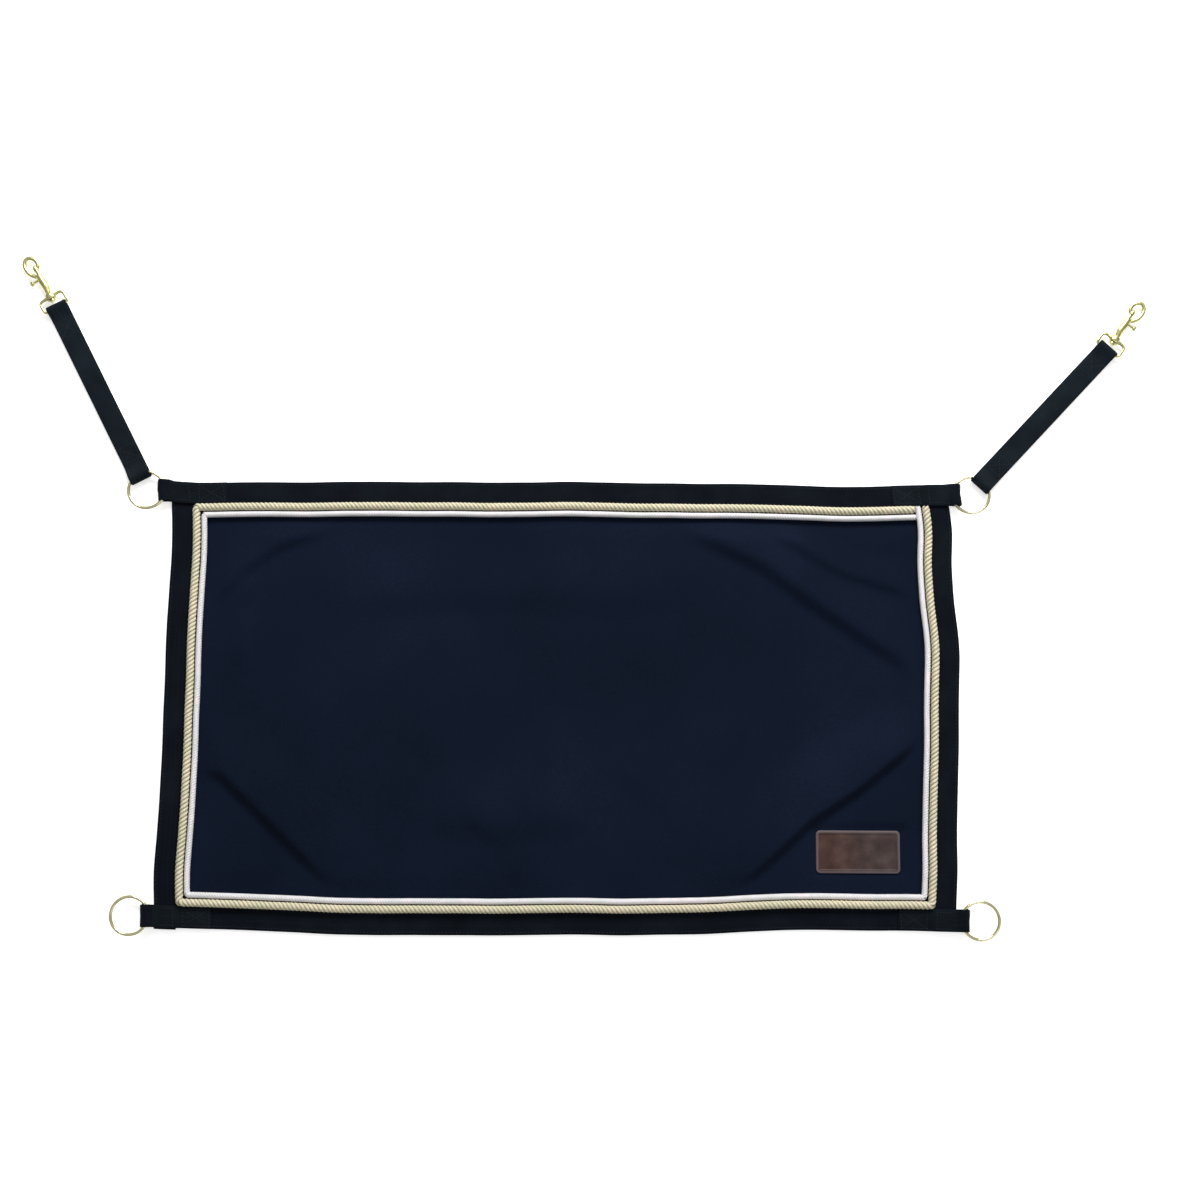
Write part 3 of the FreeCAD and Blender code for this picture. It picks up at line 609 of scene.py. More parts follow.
def webbing_finish(name, dark, light, sheen=0.01):
    """Ribbed webbing: dark is the weave's middle tone, and light scales it to the highest threads'."""
    f = Finish(name, dark, 0.7, Sheen_Weight=sheen, Sheen_Roughness=0.4, Specular_IOR_Level=0.05)
    along = f.coordinates(uv=True)
    weave = coarse_weave(f, along, 0.0011, 0.0052)
    ribs = f.wave(along, 0.0013, 0.3, "Y")
    worn = f.noise(f.coordinates(), 26, 5.0)
    fuzz = f.noise(f.coordinates(), 650, 2.0, 0.8)
    base = f.ramp(weave, [(0.0, tinted(dark, 0.55)), (0.55, dark), (1.0, tinted(dark, light))])
    tint = f.ramp(worn, [(0.32, (0.72, 0.72, 0.75)), (0.7, (1.4, 1.38, 1.33))])
    f.colour(f.mixed(1.0, base, tint, "MULTIPLY"))
    f.rough(fuzz, 0.55, 0.85)
    f.bump(weave, 0.7, 0.0005)
    f.bump(ribs, 0.3, 0.0003)
    f.bump(fuzz, 0.2, 0.0002)
    return f.material


def cord_finish(name, bright, between, groove_shade, gloss):
    """Silky strands: fine yarns that slant along each strand, duller between the yarns, with painted
    shade darkening each strand where the strands meet."""
    mid, shade = tinted(bright, between), tinted(bright, groove_shade)
    f = Finish(name, mid, 0.5, Sheen_Weight=0.1, Sheen_Roughness=0.35, Specular_IOR_Level=gloss)
    along = f.coordinates(uv=True, turn=math.radians(62))
    yarn = f.wave(along, 0.00075, 0.8)
    drift = f.noise(f.coordinates(), 55, 4.0)
    fuzz = f.noise(f.coordinates(), 900, 2.0, 0.8)
    base = f.ramp(yarn, [(0.0, mid), (1.0, bright)])
    # Painted shade where the strands meet, read from the colour that the rope keeps.
    groove_shading_node = f.node("ShaderNodeVertexColor")
    groove_shading_node.layer_name = "Depth"
    deep = f.mixed(groove_shading_node.outputs[0], shade, base)
    tint = f.ramp(drift, [(0.32, (0.90, 0.94, 0.88)), (0.52, (0.97, 0.97, 0.97)),
                          (0.7, (1.08, 1.02, 1.01))])
    f.colour(f.mixed(1.0, deep, tint, "MULTIPLY"))
    f.rough(fuzz, 0.38, 0.62)
    f.bump(yarn, 0.6, 0.0004)
    f.bump(fuzz, 0.25, 0.0002)
    return f.material


def leather_finish(brown):
    """Grained leather, redder at its left end and paler along its rim."""
    dark, worn = tinted(brown, (0.652, 0.630, 0.625)), tinted(brown, (1.522, 1.667, 1.667))
    rim_tone = tinted(brown, (2.283, 3.111, 3.750))
    f = Finish("Brown Leather", brown, 0.5, Coat_Weight=0.05, Coat_Roughness=0.4,
               Specular_IOR_Level=0.2)
    where = f.coordinates()
    pores = f.node("ShaderNodeTexVoronoi", Vector=where, Scale=780.0).outputs["Distance"]
    mottle = f.noise(where, 60, 4.0, 0.5)
    fine = f.noise(where, 1500, 2.0)
    worn_through = f.ramp(mottle, [(0.3, dark), (0.5, brown), (0.72, worn)])
    x = f.node("ShaderNodeSeparateXYZ", Vector=where).outputs[0]
    across = f.node("ShaderNodeMapRange", Value=x, From_Min=LABEL_LOW.x, From_Max=LABEL_HIGH.x)
    reddened = f.ramp(across.outputs[0], [(0.09, (1.14, 0.88, 0.78)), (0.563, (0.93, 0.93, 0.94)),
                                          (1.0, (0.884, 0.995, 1.032))])
    tone = f.mixed(1.0, worn_through, reddened, "MULTIPLY")
    grain = f.ramp(pores, [(0.0, (0.8, 0.8, 0.8)), (0.5, (1.08, 1.08, 1.08))])
    inset = f.node("ShaderNodeSeparateXYZ", Vector=f.coordinates(uv=True)).outputs[0]
    centimetres_in = f.math("MULTIPLY", inset, 100.0)
    border = f.ramp(centimetres_in, [(0.19, (1, 1, 1)), (0.30, (0, 0, 0))])
    # A paler, greyer tone along the rim, from the outline in to about 3 mm.
    skin = f.mixed(f.math("MULTIPLY", border, 0.75), tone, rim_tone)
    f.colour(f.mixed(1.0, skin, grain, "MULTIPLY"))
    f.rough(mottle, 0.42, 0.6)
    f.bump(pores, 0.4, 0.0004)
    f.bump(fine, 0.25, 0.0002)
    return f.material


def thread_finish(name, colour):
    f = Finish(name, colour, 0.6, Sheen_Weight=0.05, Specular_IOR_Level=0.2)
    where = f.coordinates()
    twist = f.wave(where, 0.0005, 1.0, "DIAGONAL")
    f.colour(f.ramp(twist, [(0.1, tinted(colour, 0.7)), (0.9, tinted(colour, 1.35))]))
    f.bump(twist, 0.4, 0.0001)
    return f.material


def metal_finish(name, colour, smoothest, roughest, dull):
    f = Finish(name, colour, smoothest, Metallic=1.0)
    where = f.coordinates()
    patina = f.noise(where, 70, 5.0, 0.6)
    scuff = f.noise(f.coordinates(scale=(1, 6, 2)), 320, 3.0)
    f.colour(f.ramp(patina, [(0.25, tinted(colour, dull)), (0.5, colour),
                             (0.8, tinted(colour, 1.06))]))
    f.rough(scuff, smoothest, roughest)
    f.bump(patina, 0.12, 0.0006)
    f.bump(scuff, 0.08, 0.0002)
    return f.material


FINISHES = {}


def finish(name):
    """Each finish is made once, the first time that a piece asks for it."""
    own = bpy.context.scene.stable_guard

    def chosen(word):
        return tuple(getattr(own, word + "_colour"))

    def folded():
        return tinted(chosen("webbing"), (1.36, 1.429, 1.205))

    makers = {
        "cloth": lambda: cloth_finish(chosen("cloth"), own.cloth_sheen),
        "webbing": lambda: webbing_finish("Navy Webbing", chosen("webbing"), (2.4, 2.095, 1.897)),
        "patch": lambda: webbing_finish("Folded Webbing", folded(), (2.529, 2.2, 1.957)),
        "strap": lambda: webbing_finish("Strap Webbing", chosen("strap"), (2.115, 1.889, 1.769), 0.02),
        # Each cord: its yarns' colour, how that is scaled between the yarns, and how for the painted
        # shade where strands meet.
        "gold": lambda: cord_finish("Gold Cord", chosen("gold"), (0.786, 0.769, 0.724),
                                    (0.262, 0.244, 0.190), 0.4),
        "white": lambda: cord_finish("White Cord", chosen("white"), (0.913, 0.901, 0.903),
                                     (0.370, 0.330, 0.366), 0.3),
        "leather": lambda: leather_finish(chosen("leather")),
        "thread": lambda: thread_finish("Navy Thread", chosen("thread")),
        "label_thread": lambda: thread_finish("Waxed Thread", chosen("label_thread")),
        "brass": lambda: metal_finish("Ring Brass", chosen("ring"), 0.14, 0.28, (0.778, 0.779, 0.727)),
        "cast_brass": lambda: metal_finish("Cast Brass", chosen("snap"), 0.22, 0.40,
                                           (0.7, 0.737, 0.630)),
        "steel": lambda: metal_finish("Spring Wire", (0.55, 0.55, 0.57), 0.2, 0.35,
                                      (0.727, 0.727, 0.719)),
    }
    if name not in FINISHES:
        FINISHES[name] = makers[name]()
    return FINISHES[name]


# ---------------------------------------------------------------- the guard itself
def panel_cloth():
    """The cloth: two skins a cloth's thickness apart, joined round the rim."""
    half_x, half_y, step = HALF_X - 0.5 * MM, HALF_Y - 0.5 * MM, 3.5 * MM
    columns, rows = round(2 * half_x / step), round(2 * half_y / step)
    verts, faces = [], []
    for height in (0.0, CLOTH):
        for j in range(rows + 1):
            for i in range(columns + 1):
                x, y = half_x * (2 * i / columns - 1), half_y * (2 * j / rows - 1)
                verts.append(laid(Vector((x, y, height))))
    wide = columns + 1
    skin = wide * (rows + 1)
    for j in range(rows):
        for i in range(columns):
            a = j * wide + i
            faces.append((a, a + wide, a + wide + 1, a + 1))
            faces.append(tuple(skin + v for v in (a, a + 1, a + wide + 1, a + wide)))
    rim = list(range(columns)) + [j * wide + columns for j in range(rows)]
    rim += [rows * wide + i for i in range(columns, 0, -1)] + [j * wide for j in range(rows, 0, -1)]
    for a, b in zip(rim, rim[1:] + rim[:1]):
        faces.append((a, b, b + skin, a + skin))
    thing = piece("panel_of_cloth", verts, faces, finish("cloth"))
    outward(thing.data)
    return thing


# How far in from the panel's edge a folded-back end reaches.
PATCH = 65 * MM


# How far the end of the left edge's webbing shows below the panel.
LEFT_END = 1.8 * MM


def side_path(side):
    x = side * (HALF_X - WEB / 2)
    low = -HALF_Y - (LEFT_END if side < 0 else 0)
    return evened([Vector((x, low, LAYER[0])), Vector((x, HALF_Y, LAYER[0]))], 5 * MM)


def tab_path(y):
    """The middle of a top or bottom webbing: from one patch, round the ring, along the panel,
    round the other ring and back to the other patch."""
    inner, radius = HALF_X - WEB, TAB_LOOP - PLY / 2
    out = [Vector((0, y, LAYER[0])), Vector((inner - 5 * MM, y, LAYER[0])),
           Vector((inner + 1 * MM, y, LAYER[1])), Vector((HALF_X - 2 * MM, y, LAYER[1]))]
    for degrees in range(245, 480, 10):
        a = math.radians(degrees)
        out.append(Vector((LOOP_X + radius * math.cos(a), y, TAB_LOOP + radius * math.sin(a))))
    out += [Vector((HALF_X - 5 * MM, y, LAYER[2] + 0.1 * MM)), Vector((inner + 1.5 * MM, y, LAYER[2])),
            Vector((inner - 4 * MM, y, LAYER[1])), Vector((HALF_X - PATCH, y, LAYER[1]))]
    half = thinned(evened(out, 0.9 * MM, 3))
    return [Vector((-p.x, p.y, p.z)) for p in reversed(half[1:])] + half


def patch_faces(thing):
    """The folded-back ends are paler: their faces take the patch finish."""
    thing.data.materials.append(finish("patch"))
    for polygon in thing.data.polygons:
        if abs(polygon.center.x) < HALF_X + 2 * MM and polygon.center.z > LAYER[1] - PLY * 0.45:
            if abs(polygon.center.x) < HALF_X - WEB - 3 * MM or polygon.center.z > LAYER[2] - PLY * 0.45:
                polygon.material_index = 1


def smooth_line(points):
    """Points read from one smooth spline that has the given control points."""
    curve = bpy.data.curves.new("route", "CURVE")
    curve.dimensions = "3D"
    spline = curve.splines.new("NURBS")
    spline.points.add(len(points) - 1)
    for point, at in zip(spline.points, points):
        point.co = (*at, 1)
    spline.order_u, spline.use_endpoint_u, spline.resolution_u = 3, True, 24
    return [v.co.copy() for v in applied(added("route", curve)).vertices]


# How much further in than the pattern the two cords were sewn along three of the sides.
LAID_IN = {"left": 1.4 * MM, "top": 1.2 * MM, "bottom": 0.5 * MM}
# How far from a corner each line along the edge starts to bend.
GOLD_BEND, GROOVE_BEND, WHITE_BEND = 5 * MM, 4 * MM, 3.4 * MM
# How much thicker than when pulled straight each cord is where it lies.
GOLD_SWELL, WHITE_SWELL = 0.4 * MM, 1.0 * MM


def cord_route(inset, bend, z, step):
    """Down the right side from the top, along the bottom, up the left and along the top, stopping
    against the white cord's first run."""
    right, left = HALF_X - inset, inset + LAID_IN["left"] - HALF_X
    high, low = HALF_Y - inset - LAID_IN["top"], inset + LAID_IN["bottom"] - HALF_Y
    top, stop = HALF_Y - WEB - 0.3 * MM, HALF_X - WHITE_AT - WHITE / 2 - 0.3 * MM
    points = [(right, top), (right, low + bend), (right, low), (right - bend, low),
              (left + bend, low), (left, low), (left, low + bend), (left, high - bend), (left, high),
              (left + bend, high), (stop, high)]
    return [laid(p) for p in evened(smooth_line([Vector((*p, z)) for p in points]), step)]


LABEL_CORNER = 5 * MM


def label_ring(inset, z, per_corner=10):
    """Points round the label's rounded outline, drawn in from it."""
    r = max(LABEL_CORNER - inset, 0.4 * MM)
    low, high, middle = LABEL_LOW, LABEL_HIGH, (LABEL_LOW + LABEL_HIGH) / 2
    ring = []
    for x, y, start in ((high.x, high.y, 0), (low.x, high.y, 90),
                        (low.x, low.y, 180), (high.x, low.y, 270)):
        mx = x - math.copysign(inset + r, x - middle.x)
        my = y - math.copysign(inset + r, y - middle.y)
        for i in range(per_corner + 1):
            a = math.radians(start + 90 * i / per_corner)
            ring.append(Vector((mx + r * math.cos(a), my + r * math.sin(a), z)))
    return ring


def leather_label():
    """A leather patch with a rolled rim, a raised sewn border and a slightly sunken middle. Its
    profile says how far in from the rim, and the height where the leather is 2 thick."""
    thick = (LABEL_HIGH - LABEL_LOW).z
    profile = [(0.5, 0.0), (0.1, 0.25), (0.0, 0.9), (0.15, 1.5), (0.6, 1.9), (1.3, 2.05), (2.4, 2.05),
               (3.6, 2.0), (4.4, 1.75), (4.9, 1.45), (5.5, 1.45), (6.4, 1.62), (9.0, 1.70), (14.0, 1.74),
               (20.0, 1.76)]
    rows = [label_ring(i * MM, LABEL_LOW.z + thick * h / 2) for i, h in profile]
    marks = [i * MM for i, h in profile]
    verts, faces, uvs = loft(rows, marks, distances(rows[0], closed=True))
    thing = piece("label_of_leather", verts, faces, finish("leather"), uvs)
    outward(thing.data)
    return thing


# ---------------------------------------------------------------- straps
class Run:
    """A strap's own frame: x along it from the middle of its ring, z up from the floor."""

    def __init__(self, side):
        ring = Vector(joint(f"{side}_strap_slide_round_ring")["pos_m"])
        bar = Vector(joint(f"{side}_eye_flap")["pos_m"])
        way = Vector((bar.x - ring.x, bar.y - ring.y, 0))
        self.long = way.length
        self.x, self.y = way.normalized(), UP.cross(way.normalized())
        self.base, self.bar_z = Vector((ring.x, ring.y, 0)), bar.z

    def at(self, x, y, z):
        return self.base + self.x * x + self.y * y + UP * z


# Where a strap's two layers come together: from the ring's far side, and from the eye's bar.
RING_SEAM, BAR_SEAM = 21 * MM, 17 * MM


def strap_path(run):
    """Round the ring, along, round the bar and back: the middle of the webbing's thickness."""
    ring_x, ring_r = RING.x - LOOP_X, TAB_LOOP - PLY / 2
    bar_r = run.bar_z - PLY / 2
    low, top = PLY / 2, PLY * 1.5
    line = [(run.long * 0.5, low), (ring_x + 3 * MM, low)]
    line += [(ring_x + ring_r * math.cos(a), TAB_LOOP + ring_r * math.sin(a))
             for a in map(math.radians, range(268, 68, -10))]
    line += [(ring_x + 8 * MM, top + 5.2 * MM), (ring_x + 15 * MM, top + 1.2 * MM),
             (ring_x + RING_SEAM, top), (run.long - BAR_SEAM, top),
             (run.long - 11 * MM, top + 1.4 * MM), (run.long - 6 * MM, top + 3.9 * MM)]
    line += [(run.long + bar_r * math.cos(a), run.bar_z + bar_r * math.sin(a))
             for a in map(math.radians, range(112, -90, -10))]
    line += [(run.long - 4 * MM, low), (run.long * 0.5, low)]
    fine = evened([run.at(x, 0, z) for x, z in line], 0.9 * MM, 3)
    return thinned(fine)[:-1]


# ---------------------------------------------------------------- brass
def ring_mesh(name, node):
    """A ring of round wire, with the faint swelling of its weld."""
    low, high = corners(node)
    centre, wire = (low + high) / 2, extent(node).z / 2
    radius, steps, sides = extent(node).x / 2 - wire, 96, 20
    rows, marks = [], []
    weld = math.radians(40 + 70 * (len(name) % 4))
    for i in range(steps):
        a = 2 * math.pi * i / steps
        bead = 1 + 0.05 * bump(math.remainder(a - weld, 2 * math.pi), 0, 0.06)
        out = Vector((math.cos(a), math.sin(a), 0))
        rows.append([centre + out * radius + (out * math.cos(b) + UP * math.sin(b)) * wire * bead
                     for b in (2 * math.pi * j / sides for j in range(sides))])
        marks.append(radius * a)
    vs = [wire * 2 * math.pi * j / sides for j in range(sides + 1)]
    verts, faces, uvs = loft(rows, marks + [2 * math.pi * radius], vs, closed=True)
    thing = piece(name, verts, faces, finish("brass"), uvs)
    outward(thing.data)
    return thing


def collar(name, word):
    """The cast swelling in the middle of the eye's crossbar, bored for the hook's stud."""
    pin = joint(f"{word}_hook_swivel")
    along = Vector(pin["axis"]).normalized()
    across = UP.cross(along)
    place = Matrix((along, across * 1.25, UP)).transposed().to_4x4()
    place.translation = Vector(pin["pos_m"])
    half, bore, out = 3.9 * MM, 2.35 * MM, 4.75 * MM
    profile = [(-half, bore), (-half, out - 1.2 * MM), (-half + 0.4 * MM, out - 0.4 * MM),
               (-half + 1.2 * MM, out)]
    profile += [(0, out * 1.01)] + [(-x, r) for x, r in reversed(profile)]
    return turned(name, profile, place, finish("cast_brass"))


def spring_copy(name, node):
    mesh = merged_copy(node)
    outward(mesh)
    return finished(name, mesh, finish("steel"))


# ---------------------------------------------------------------- seams
SEAM_IN = 3 * MM


def seam_line(start, end, settle, step=6 * MM):
    return [settle(p) for p in evened([Vector(start), Vector(end)], step)]


def webbing_seams():
    """Two rows along the top and bottom webbing and one along each side's, a little in from their edges.
    """
    top = LAYER[0] + PLY / 2
    lines = []
    for inset in (SEAM_IN, WEB - 1.9 * MM):
        x, y = HALF_X - inset, HALF_Y - inset
        reach_x, reach_y = HALF_X - PATCH - SEAM_IN, HALF_Y - WEB - SEAM_IN
        for side in (-1, 1):
            lines.append(seam_line((-reach_x, side * y, top), (reach_x, side * y, top), laid))
            if inset == SEAM_IN:
                lines.append(seam_line((side * x, -reach_y, top), (side * x, reach_y, top), laid))
    return lines


def box_lines(low, high, z, settle, cross=True):
    """A box seam, with the two slanting rows across it."""
    a, b, c, d = ((x, y, z) for x, y in (low, (high[0], low[1]), high, (low[0], high[1])))
    rows = [(a, b), (b, c), (c, d), (d, a)] + ([(a, c), (b, d)] if cross else [])
    return [seam_line(start, end, settle, 3 * MM) for start, end in rows]


def tab_seams():
    """A crossed box through each folded-back end, and a plain one over the side webbing."""
    lines, inner = [], HALF_X - WEB
    y0, y1 = HALF_Y - WEB + SEAM_IN + 0.6 * MM, HALF_Y - SEAM_IN
    for end in (-1, 1):
        for side in (-1, 1):
            def settle(p, end=end, side=side):
                return laid(Vector((end * p.x, side * p.y, p.z)))

            lines += box_lines((HALF_X - PATCH + SEAM_IN, y0), (inner - 8 * MM, y1), LAYER[1] + PLY / 2,
                               settle)
            lines += box_lines((inner + 3 * MM, y0), (HALF_X - 5 * MM, y1), LAYER[2] + PLY / 2, settle,
                               cross=False)
    return lines


def strap_seams(run):
    """A crossed box at each end of the part where the two layers lie together."""
    def settle(p):
        return run.at(p.x, p.y, p.z)

    half = WEB / 2 - SEAM_IN
    ring_end, bar_end, long = RING.x - LOOP_X + RING_SEAM, run.long - BAR_SEAM, 20 * MM
    top = 2 * PLY
    lines = box_lines((ring_end, -half), (ring_end + long, half), top, settle)
    lines += box_lines((bar_end - long, -half), (bar_end, half), top, settle)
    return lines


# ---------------------------------------------------------------- the stage
def light(name, size, strength, place):
    """A wide lamp that is aimed at the middle of the guard."""
    lamp = bpy.data.lights.new(name, "AREA")
    lamp.shape, lamp.size, lamp.size_y, lamp.energy = "RECTANGLE", *size, strength
    thing = added(name, lamp)
    thing.location = place
    thing.rotation_euler = (-Vector(place)).to_track_quat("-Z", "Y").to_euler()
    return thing


PALE = (0.93, 0.93, 0.93)


def studio_floor():
    """A wide pale floor that glows a little, so that shadows on it stay faint."""
    f = Finish("Studio Floor", PALE, 0.9, Specular_IOR_Level=0.1, Emission_Strength=0.5,
               Emission_Color=(1, 1, 1, 1))
    reach, z = 6, -0.6 * MM
    corner_points = [(-reach, -reach, z), (reach, -reach, z), (reach, reach, z), (-reach, reach, z)]
    return piece("floor", corner_points, [(0, 1, 2, 3)], f.material, soft=False)


def studio_world(brightness):
    """Light that is stronger from above. The camera sees a plain pale backdrop in its place."""
    world = bpy.data.worlds.new("Studio")
    world.use_nodes = True
    nodes, links = world.node_tree.nodes, world.node_tree.links
    where, parts = nodes.new("ShaderNodeTexCoord"), nodes.new("ShaderNodeSeparateXYZ")
    height = nodes.new("ShaderNodeValToRGB")
    for element, at, grey in zip(height.color_ramp.elements, (0.12, 0.80), (0.10, 1.0)):
        element.position, element.color = at, (grey, grey, grey, 1)
    links.new(where.outputs["Generated"], parts.inputs[0])
    links.new(parts.outputs["Z"], height.inputs["Fac"])
    links.new(height.outputs["Color"], nodes["Background"].inputs["Color"])
    nodes["Background"].inputs["Strength"].default_value = 0.55 * brightness
    wall, seen = nodes.new("ShaderNodeBackground"), nodes.new("ShaderNodeLightPath")
    mix = nodes.new("ShaderNodeMixShader")
    wall.inputs["Color"].default_value = (*PALE, 1)
    links.new(seen.outputs["Is Camera Ray"], mix.inputs[0])
    links.new(nodes["Background"].outputs[0], mix.inputs[1])
    links.new(wall.outputs[0], mix.inputs[2])
    links.new(mix.outputs[0], nodes["World Output"].inputs["Surface"])
    bpy.context.scene.world = world


def camera():
    """A camera two metres above the guard, leaning a little towards its top edge."""
    lens = bpy.data.cameras.new("camera")
    lens.sensor_width, lens.lens, lens.clip_end = 36, 52.608, 30
    thing = added("camera", lens)
    thing.location = (0.050, -0.1507, 2.000)
    thing.rotation_euler = (math.radians(7.66), 0, math.radians(0.35))
    bpy.context.scene.camera = thing
    return thing


# ---------------------------------------------------------------- add-on
def length_setting(name, description, default, low, high):
    return FloatProperty(name=name, description=description, default=default, min=low, max=high,
                         unit="LENGTH")


def colour_setting(name, description, default):
    return FloatVectorProperty(name=name, description=description, default=default, size=3, min=0,
                               max=1, subtype="COLOR")


class StableGuardSettings(bpy.types.PropertyGroup):
    """What a user may change before building the guard."""
    gold_lay: length_setting("Gold Lay", "Length of one full twist of the gold cord", 14.7 * MM,
                             8 * MM, 30 * MM)
    white_lay: length_setting("White Lay", "Length of one full twist of the white cord", 9 * MM,
                              5 * MM, 20 * MM)
    stitch_pitch: length_setting("Stitch Pitch", "Distance from one stitch to the next", 4 * MM,
                                 2 * MM, 10 * MM)
    cloth_sheen: FloatProperty(name="Cloth Sheen", default=0.02, min=0, max=1, subtype="FACTOR",
                               description="How much the cloth's fibres catch the light")
    brightness: FloatProperty(name="Brightness", description="Strength of the studio light",
                              default=1.0, min=0.1, max=4)
    cloth_colour: colour_setting("Cloth", "Colour of the panel's cloth", (0.0036, 0.0074, 0.0185))
    webbing_colour: colour_setting("Webbing", "Colour of the webbing round the panel",
                                   (0.0025, 0.0042, 0.0078))
    strap_colour: colour_setting("Straps", "Colour of the two straps", (0.0052, 0.0090, 0.0130))
    gold_colour: colour_setting("Gold Cord", "Colour of the outer cord's yarns", (0.84, 0.78, 0.58))
    white_colour: colour_setting("White Cord", "Colour of the inner cord's yarns", (0.92, 0.91, 0.93))
    leather_colour: colour_setting("Leather", "Colour of the label", (0.046, 0.027, 0.024))
    thread_colour: colour_setting("Thread", "Colour of the stitches", (0.0065, 0.0095, 0.0150))
    label_thread_colour: colour_setting("Label Thread", "Colour of the stitches round the label",
                                        (0.10, 0.082, 0.072))
    ring_colour: colour_setting("Rings", "Colour of the rings' brass", (0.72, 0.68, 0.44))
    snap_colour: colour_setting("Snaps", "Colour of the snaps' cast brass", (0.60, 0.57, 0.27))


class GUARD_OT_panel(bpy.types.Operator):
    """Build the cloth panel, lying with its folds"""
    bl_idname = "guard.panel"
    bl_label = "Cloth Panel"

    def execute(self, context):
        panel = finish_piece(panel_cloth(), "guard", "panel_cloth", "panel_cloth")
        return {"FINISHED"}


class GUARD_OT_webbing(bpy.types.Operator):
    """Build the webbing round the panel, with its folded tabs"""
    bl_idname = "guard.webbing"
    bl_label = "Edge Webbing"

    def execute(self, context):
        for word, side in SIDES.items():
            strip = ribbon(f"{word}_edge_webbing", side_path(side), Vector((1, 0, 0)), finish("webbing"))
            finish_piece(strip, "guard", "webbing", f"{word}_side_webbing")
        for word, side in (("top", 1), ("bottom", -1)):
            path = tab_path(side * (HALF_Y - WEB / 2))
            strip = ribbon(f"{word}_edge_webbing", path, Vector((0, 1, 0)), finish("webbing"))
            patch_faces(strip)
            finish_piece(strip, "guard", "webbing", f"{word}_webbing")
        return {"FINISHED"}


class GUARD_OT_cords(bpy.types.Operator):
    """Build the gold and the white trim cord"""
    bl_idname = "guard.cords"
    bl_label = "Trim Cords"

    def execute(self, context):
        settings = context.scene.stable_guard
        route = cord_route(GOLD_AT, GOLD_BEND, GOLD_Z, 1.25 * MM)
        gold = rope("gold_trim", route, GOLD + GOLD_SWELL, settings.gold_lay, 8, 0.475,
                    finish("gold"), 1.0)
        finish_piece(gold, "guard", "gold_cord", "gold_cord")
        shift = WHITE_SWELL / 2
        route = cord_route(WHITE_AT + shift, WHITE_BEND, WHITE_Z + shift, 1.0 * MM)
        white = rope("white_trim", route, WHITE + WHITE_SWELL, settings.white_lay, 7, 0.485,
                     finish("white"), 7.0)
        finish_piece(white, "guard", "white_cord", "white_cord")
        return {"FINISHED"}


class GUARD_OT_label(bpy.types.Operator):
    """Build the leather label"""
    bl_idname = "guard.label"
    bl_label = "Leather Label"

    def execute(self, context):
        finish_piece(leather_label(), "guard", "leather", "leather_label")
        return {"FINISHED"}


class GUARD_OT_seams(bpy.types.Operator):
    """Sew the webbing, the tabs, the cords and the label"""
    bl_idname = "guard.seams"
    bl_label = "Seams"

    def execute(self, context):
        pitch = context.scene.stable_guard.stitch_pitch
        groove = cord_route((GOLD_AT + GOLD / 2 + WHITE_AT - WHITE / 2) / 2, GROOVE_BEND,
                            CLOTH + 2.6 * MM, 3 * MM)
        ring = label_ring(2.9 * MM, LABEL_LOW.z + 2.02 * MM, 6)
        for name, lines, thread, spacing, stitch, radius, node in (
                ("webbing_seams", webbing_seams(), "thread", 1.0, 0.72, 0.36, "webbing_stitching"),
                ("tab_seams", tab_seams(), "thread", 0.8, 0.6, 0.38, "tab_stitching"),
                ("cord_seam", [groove], "thread", 1.5, 0.7, 0.40, "cord_stitching"),
                ("label_seam", [ring + ring[:1]], "label_thread", 0.75, 0.55, 0.36,
                 "label_stitching")):
            sewn = stitch_lines(name, lines, finish(thread), spacing * pitch, stitch * pitch, radius * MM)
            finish_piece(sewn, "guard", thread, node)
        return {"FINISHED"}


class GUARD_OT_rings(bpy.types.Operator):
    """Build the four brass rings"""
    bl_idname = "guard.rings"
    bl_label = "Corner Rings"

    def execute(self, context):
        for height in ("upper", "lower"):
            for word in SIDES:
                node = f"{height}_{word}_ring"
                finish_piece(ring_mesh(f"{height}_{word}_brass_ring", node), node, "brass", node)
        return {"FINISHED"}


class GUARD_OT_straps(bpy.types.Operator):
    """Build the two doubled straps and their seams"""
    bl_idname = "guard.straps"
    bl_label = "Straps"

    def execute(self, context):
        pitch = context.scene.stable_guard.stitch_pitch
        for word in SIDES:
            run = Run(word)
            strip = ribbon(f"{word}_doubled_strap", strap_path(run), run.y, finish("strap"), closed=True,
                           settle=lambda p: p)
            finish_piece(strip, f"{word}_strap", "strap_webbing", f"{word}_strap")
            sewn = stitch_lines(f"{word}_strap_seams", strap_seams(run), finish("thread"), 0.75 * pitch,
                                0.58 * pitch, 0.38 * MM)
            finish_piece(sewn, f"{word}_strap", "thread", f"{word}_strap_stitching")
        return {"FINISHED"}


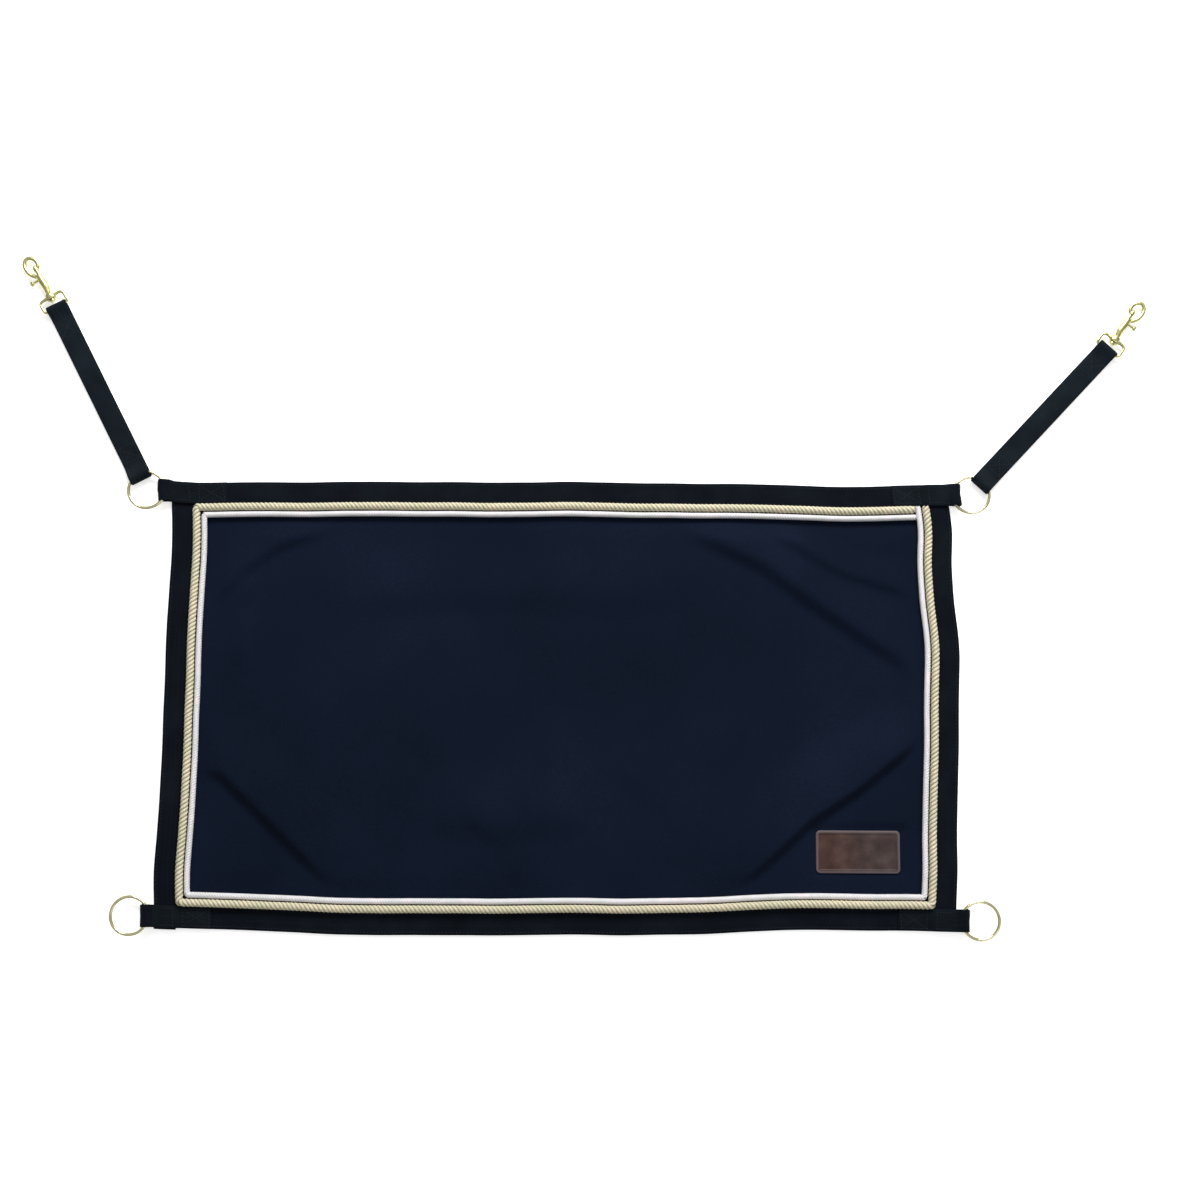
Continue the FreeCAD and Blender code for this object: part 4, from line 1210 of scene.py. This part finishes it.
class GUARD_OT_snaps(bpy.types.Operator):
    """Build the swivel eyes, hooks, bolts, knobs and springs"""
    bl_idname = "guard.snaps"
    bl_label = "Bolt Snaps"

    def execute(self, context):
        for word in SIDES:
            for node, body, grain, rounds in (("swivel_eye", "swivel_eye", 0.30, 5),
                                              ("hook_body", "hook", 0.32, 6),
                                              ("spring_bolt", "bolt", 0.18, 2),
                                              ("thumb_knob", "bolt", 0.18, 3)):
                cast = cast_copy(f"{word}_cast_{node}", f"{word}_{node}", grain * MM, rounds,
                                 finish("cast_brass"))
                finish_piece(cast, f"{word}_{body}", "brass", f"{word}_{node}")
            finish_piece(collar(f"{word}_eye_collar", word), f"{word}_swivel_eye", "brass",
                         f"{word}_swivel_eye")
            coil = spring_copy(f"{word}_coil", f"{word}_bolt_spring")
            finish_piece(coil, f"{word}_hook", "spring_steel", f"{word}_bolt_spring")
            back = Vector(joint(f"{word}_bolt_pull")["axis"]).normalized()
            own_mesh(coil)
        return {"FINISHED"}


class GUARD_OT_stage(bpy.types.Operator):
    """Set the floor, the lights and the camera"""
    bl_idname = "guard.stage"
    bl_label = "Stage"

    def execute(self, context):
        bright = context.scene.stable_guard.brightness
        floor = studio_floor()
        studio_world(bright)
        key = light("key_light", (1.9, 0.9), 112 * bright, (0.35, 2.3, 1.75))
        fill = light("fill_light", (1.8, 1.2), 12 * bright, (1.6, -1.4, 2.0))
        camera()
        context.scene.view_settings.view_transform = "Standard"
        return {"FINISHED"}


class GUARD_PT_panel(bpy.types.Panel):
    """The guard's settings and the buttons that build it"""
    bl_label = "Stable Guard"
    bl_idname = "GUARD_PT_panel"
    bl_space_type = "VIEW_3D"
    bl_region_type = "UI"
    bl_category = "Stable Guard"

    def draw(self, context):
        for name in StableGuardSettings.__annotations__:
            self.layout.prop(context.scene.stable_guard, name)
        for operator in OPERATORS:
            self.layout.operator(operator.bl_idname)


OPERATORS = (GUARD_OT_panel, GUARD_OT_webbing, GUARD_OT_cords, GUARD_OT_label, GUARD_OT_seams,
             GUARD_OT_rings, GUARD_OT_straps, GUARD_OT_snaps, GUARD_OT_stage)
CLASSES = (StableGuardSettings, *OPERATORS, GUARD_PT_panel)


def register():
    for item in CLASSES:
        bpy.utils.register_class(item)
    bpy.types.Scene.stable_guard = PointerProperty(type=StableGuardSettings)


def unregister():
    del bpy.types.Scene.stable_guard
    for item in reversed(CLASSES):
        bpy.utils.unregister_class(item)


def main():
    """Build the whole guard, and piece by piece."""
    register()
    for operator in OPERATORS:
        getattr(bpy.ops.guard, operator.bl_idname.split(".")[1])()


if __name__ == "__main__":
    main()
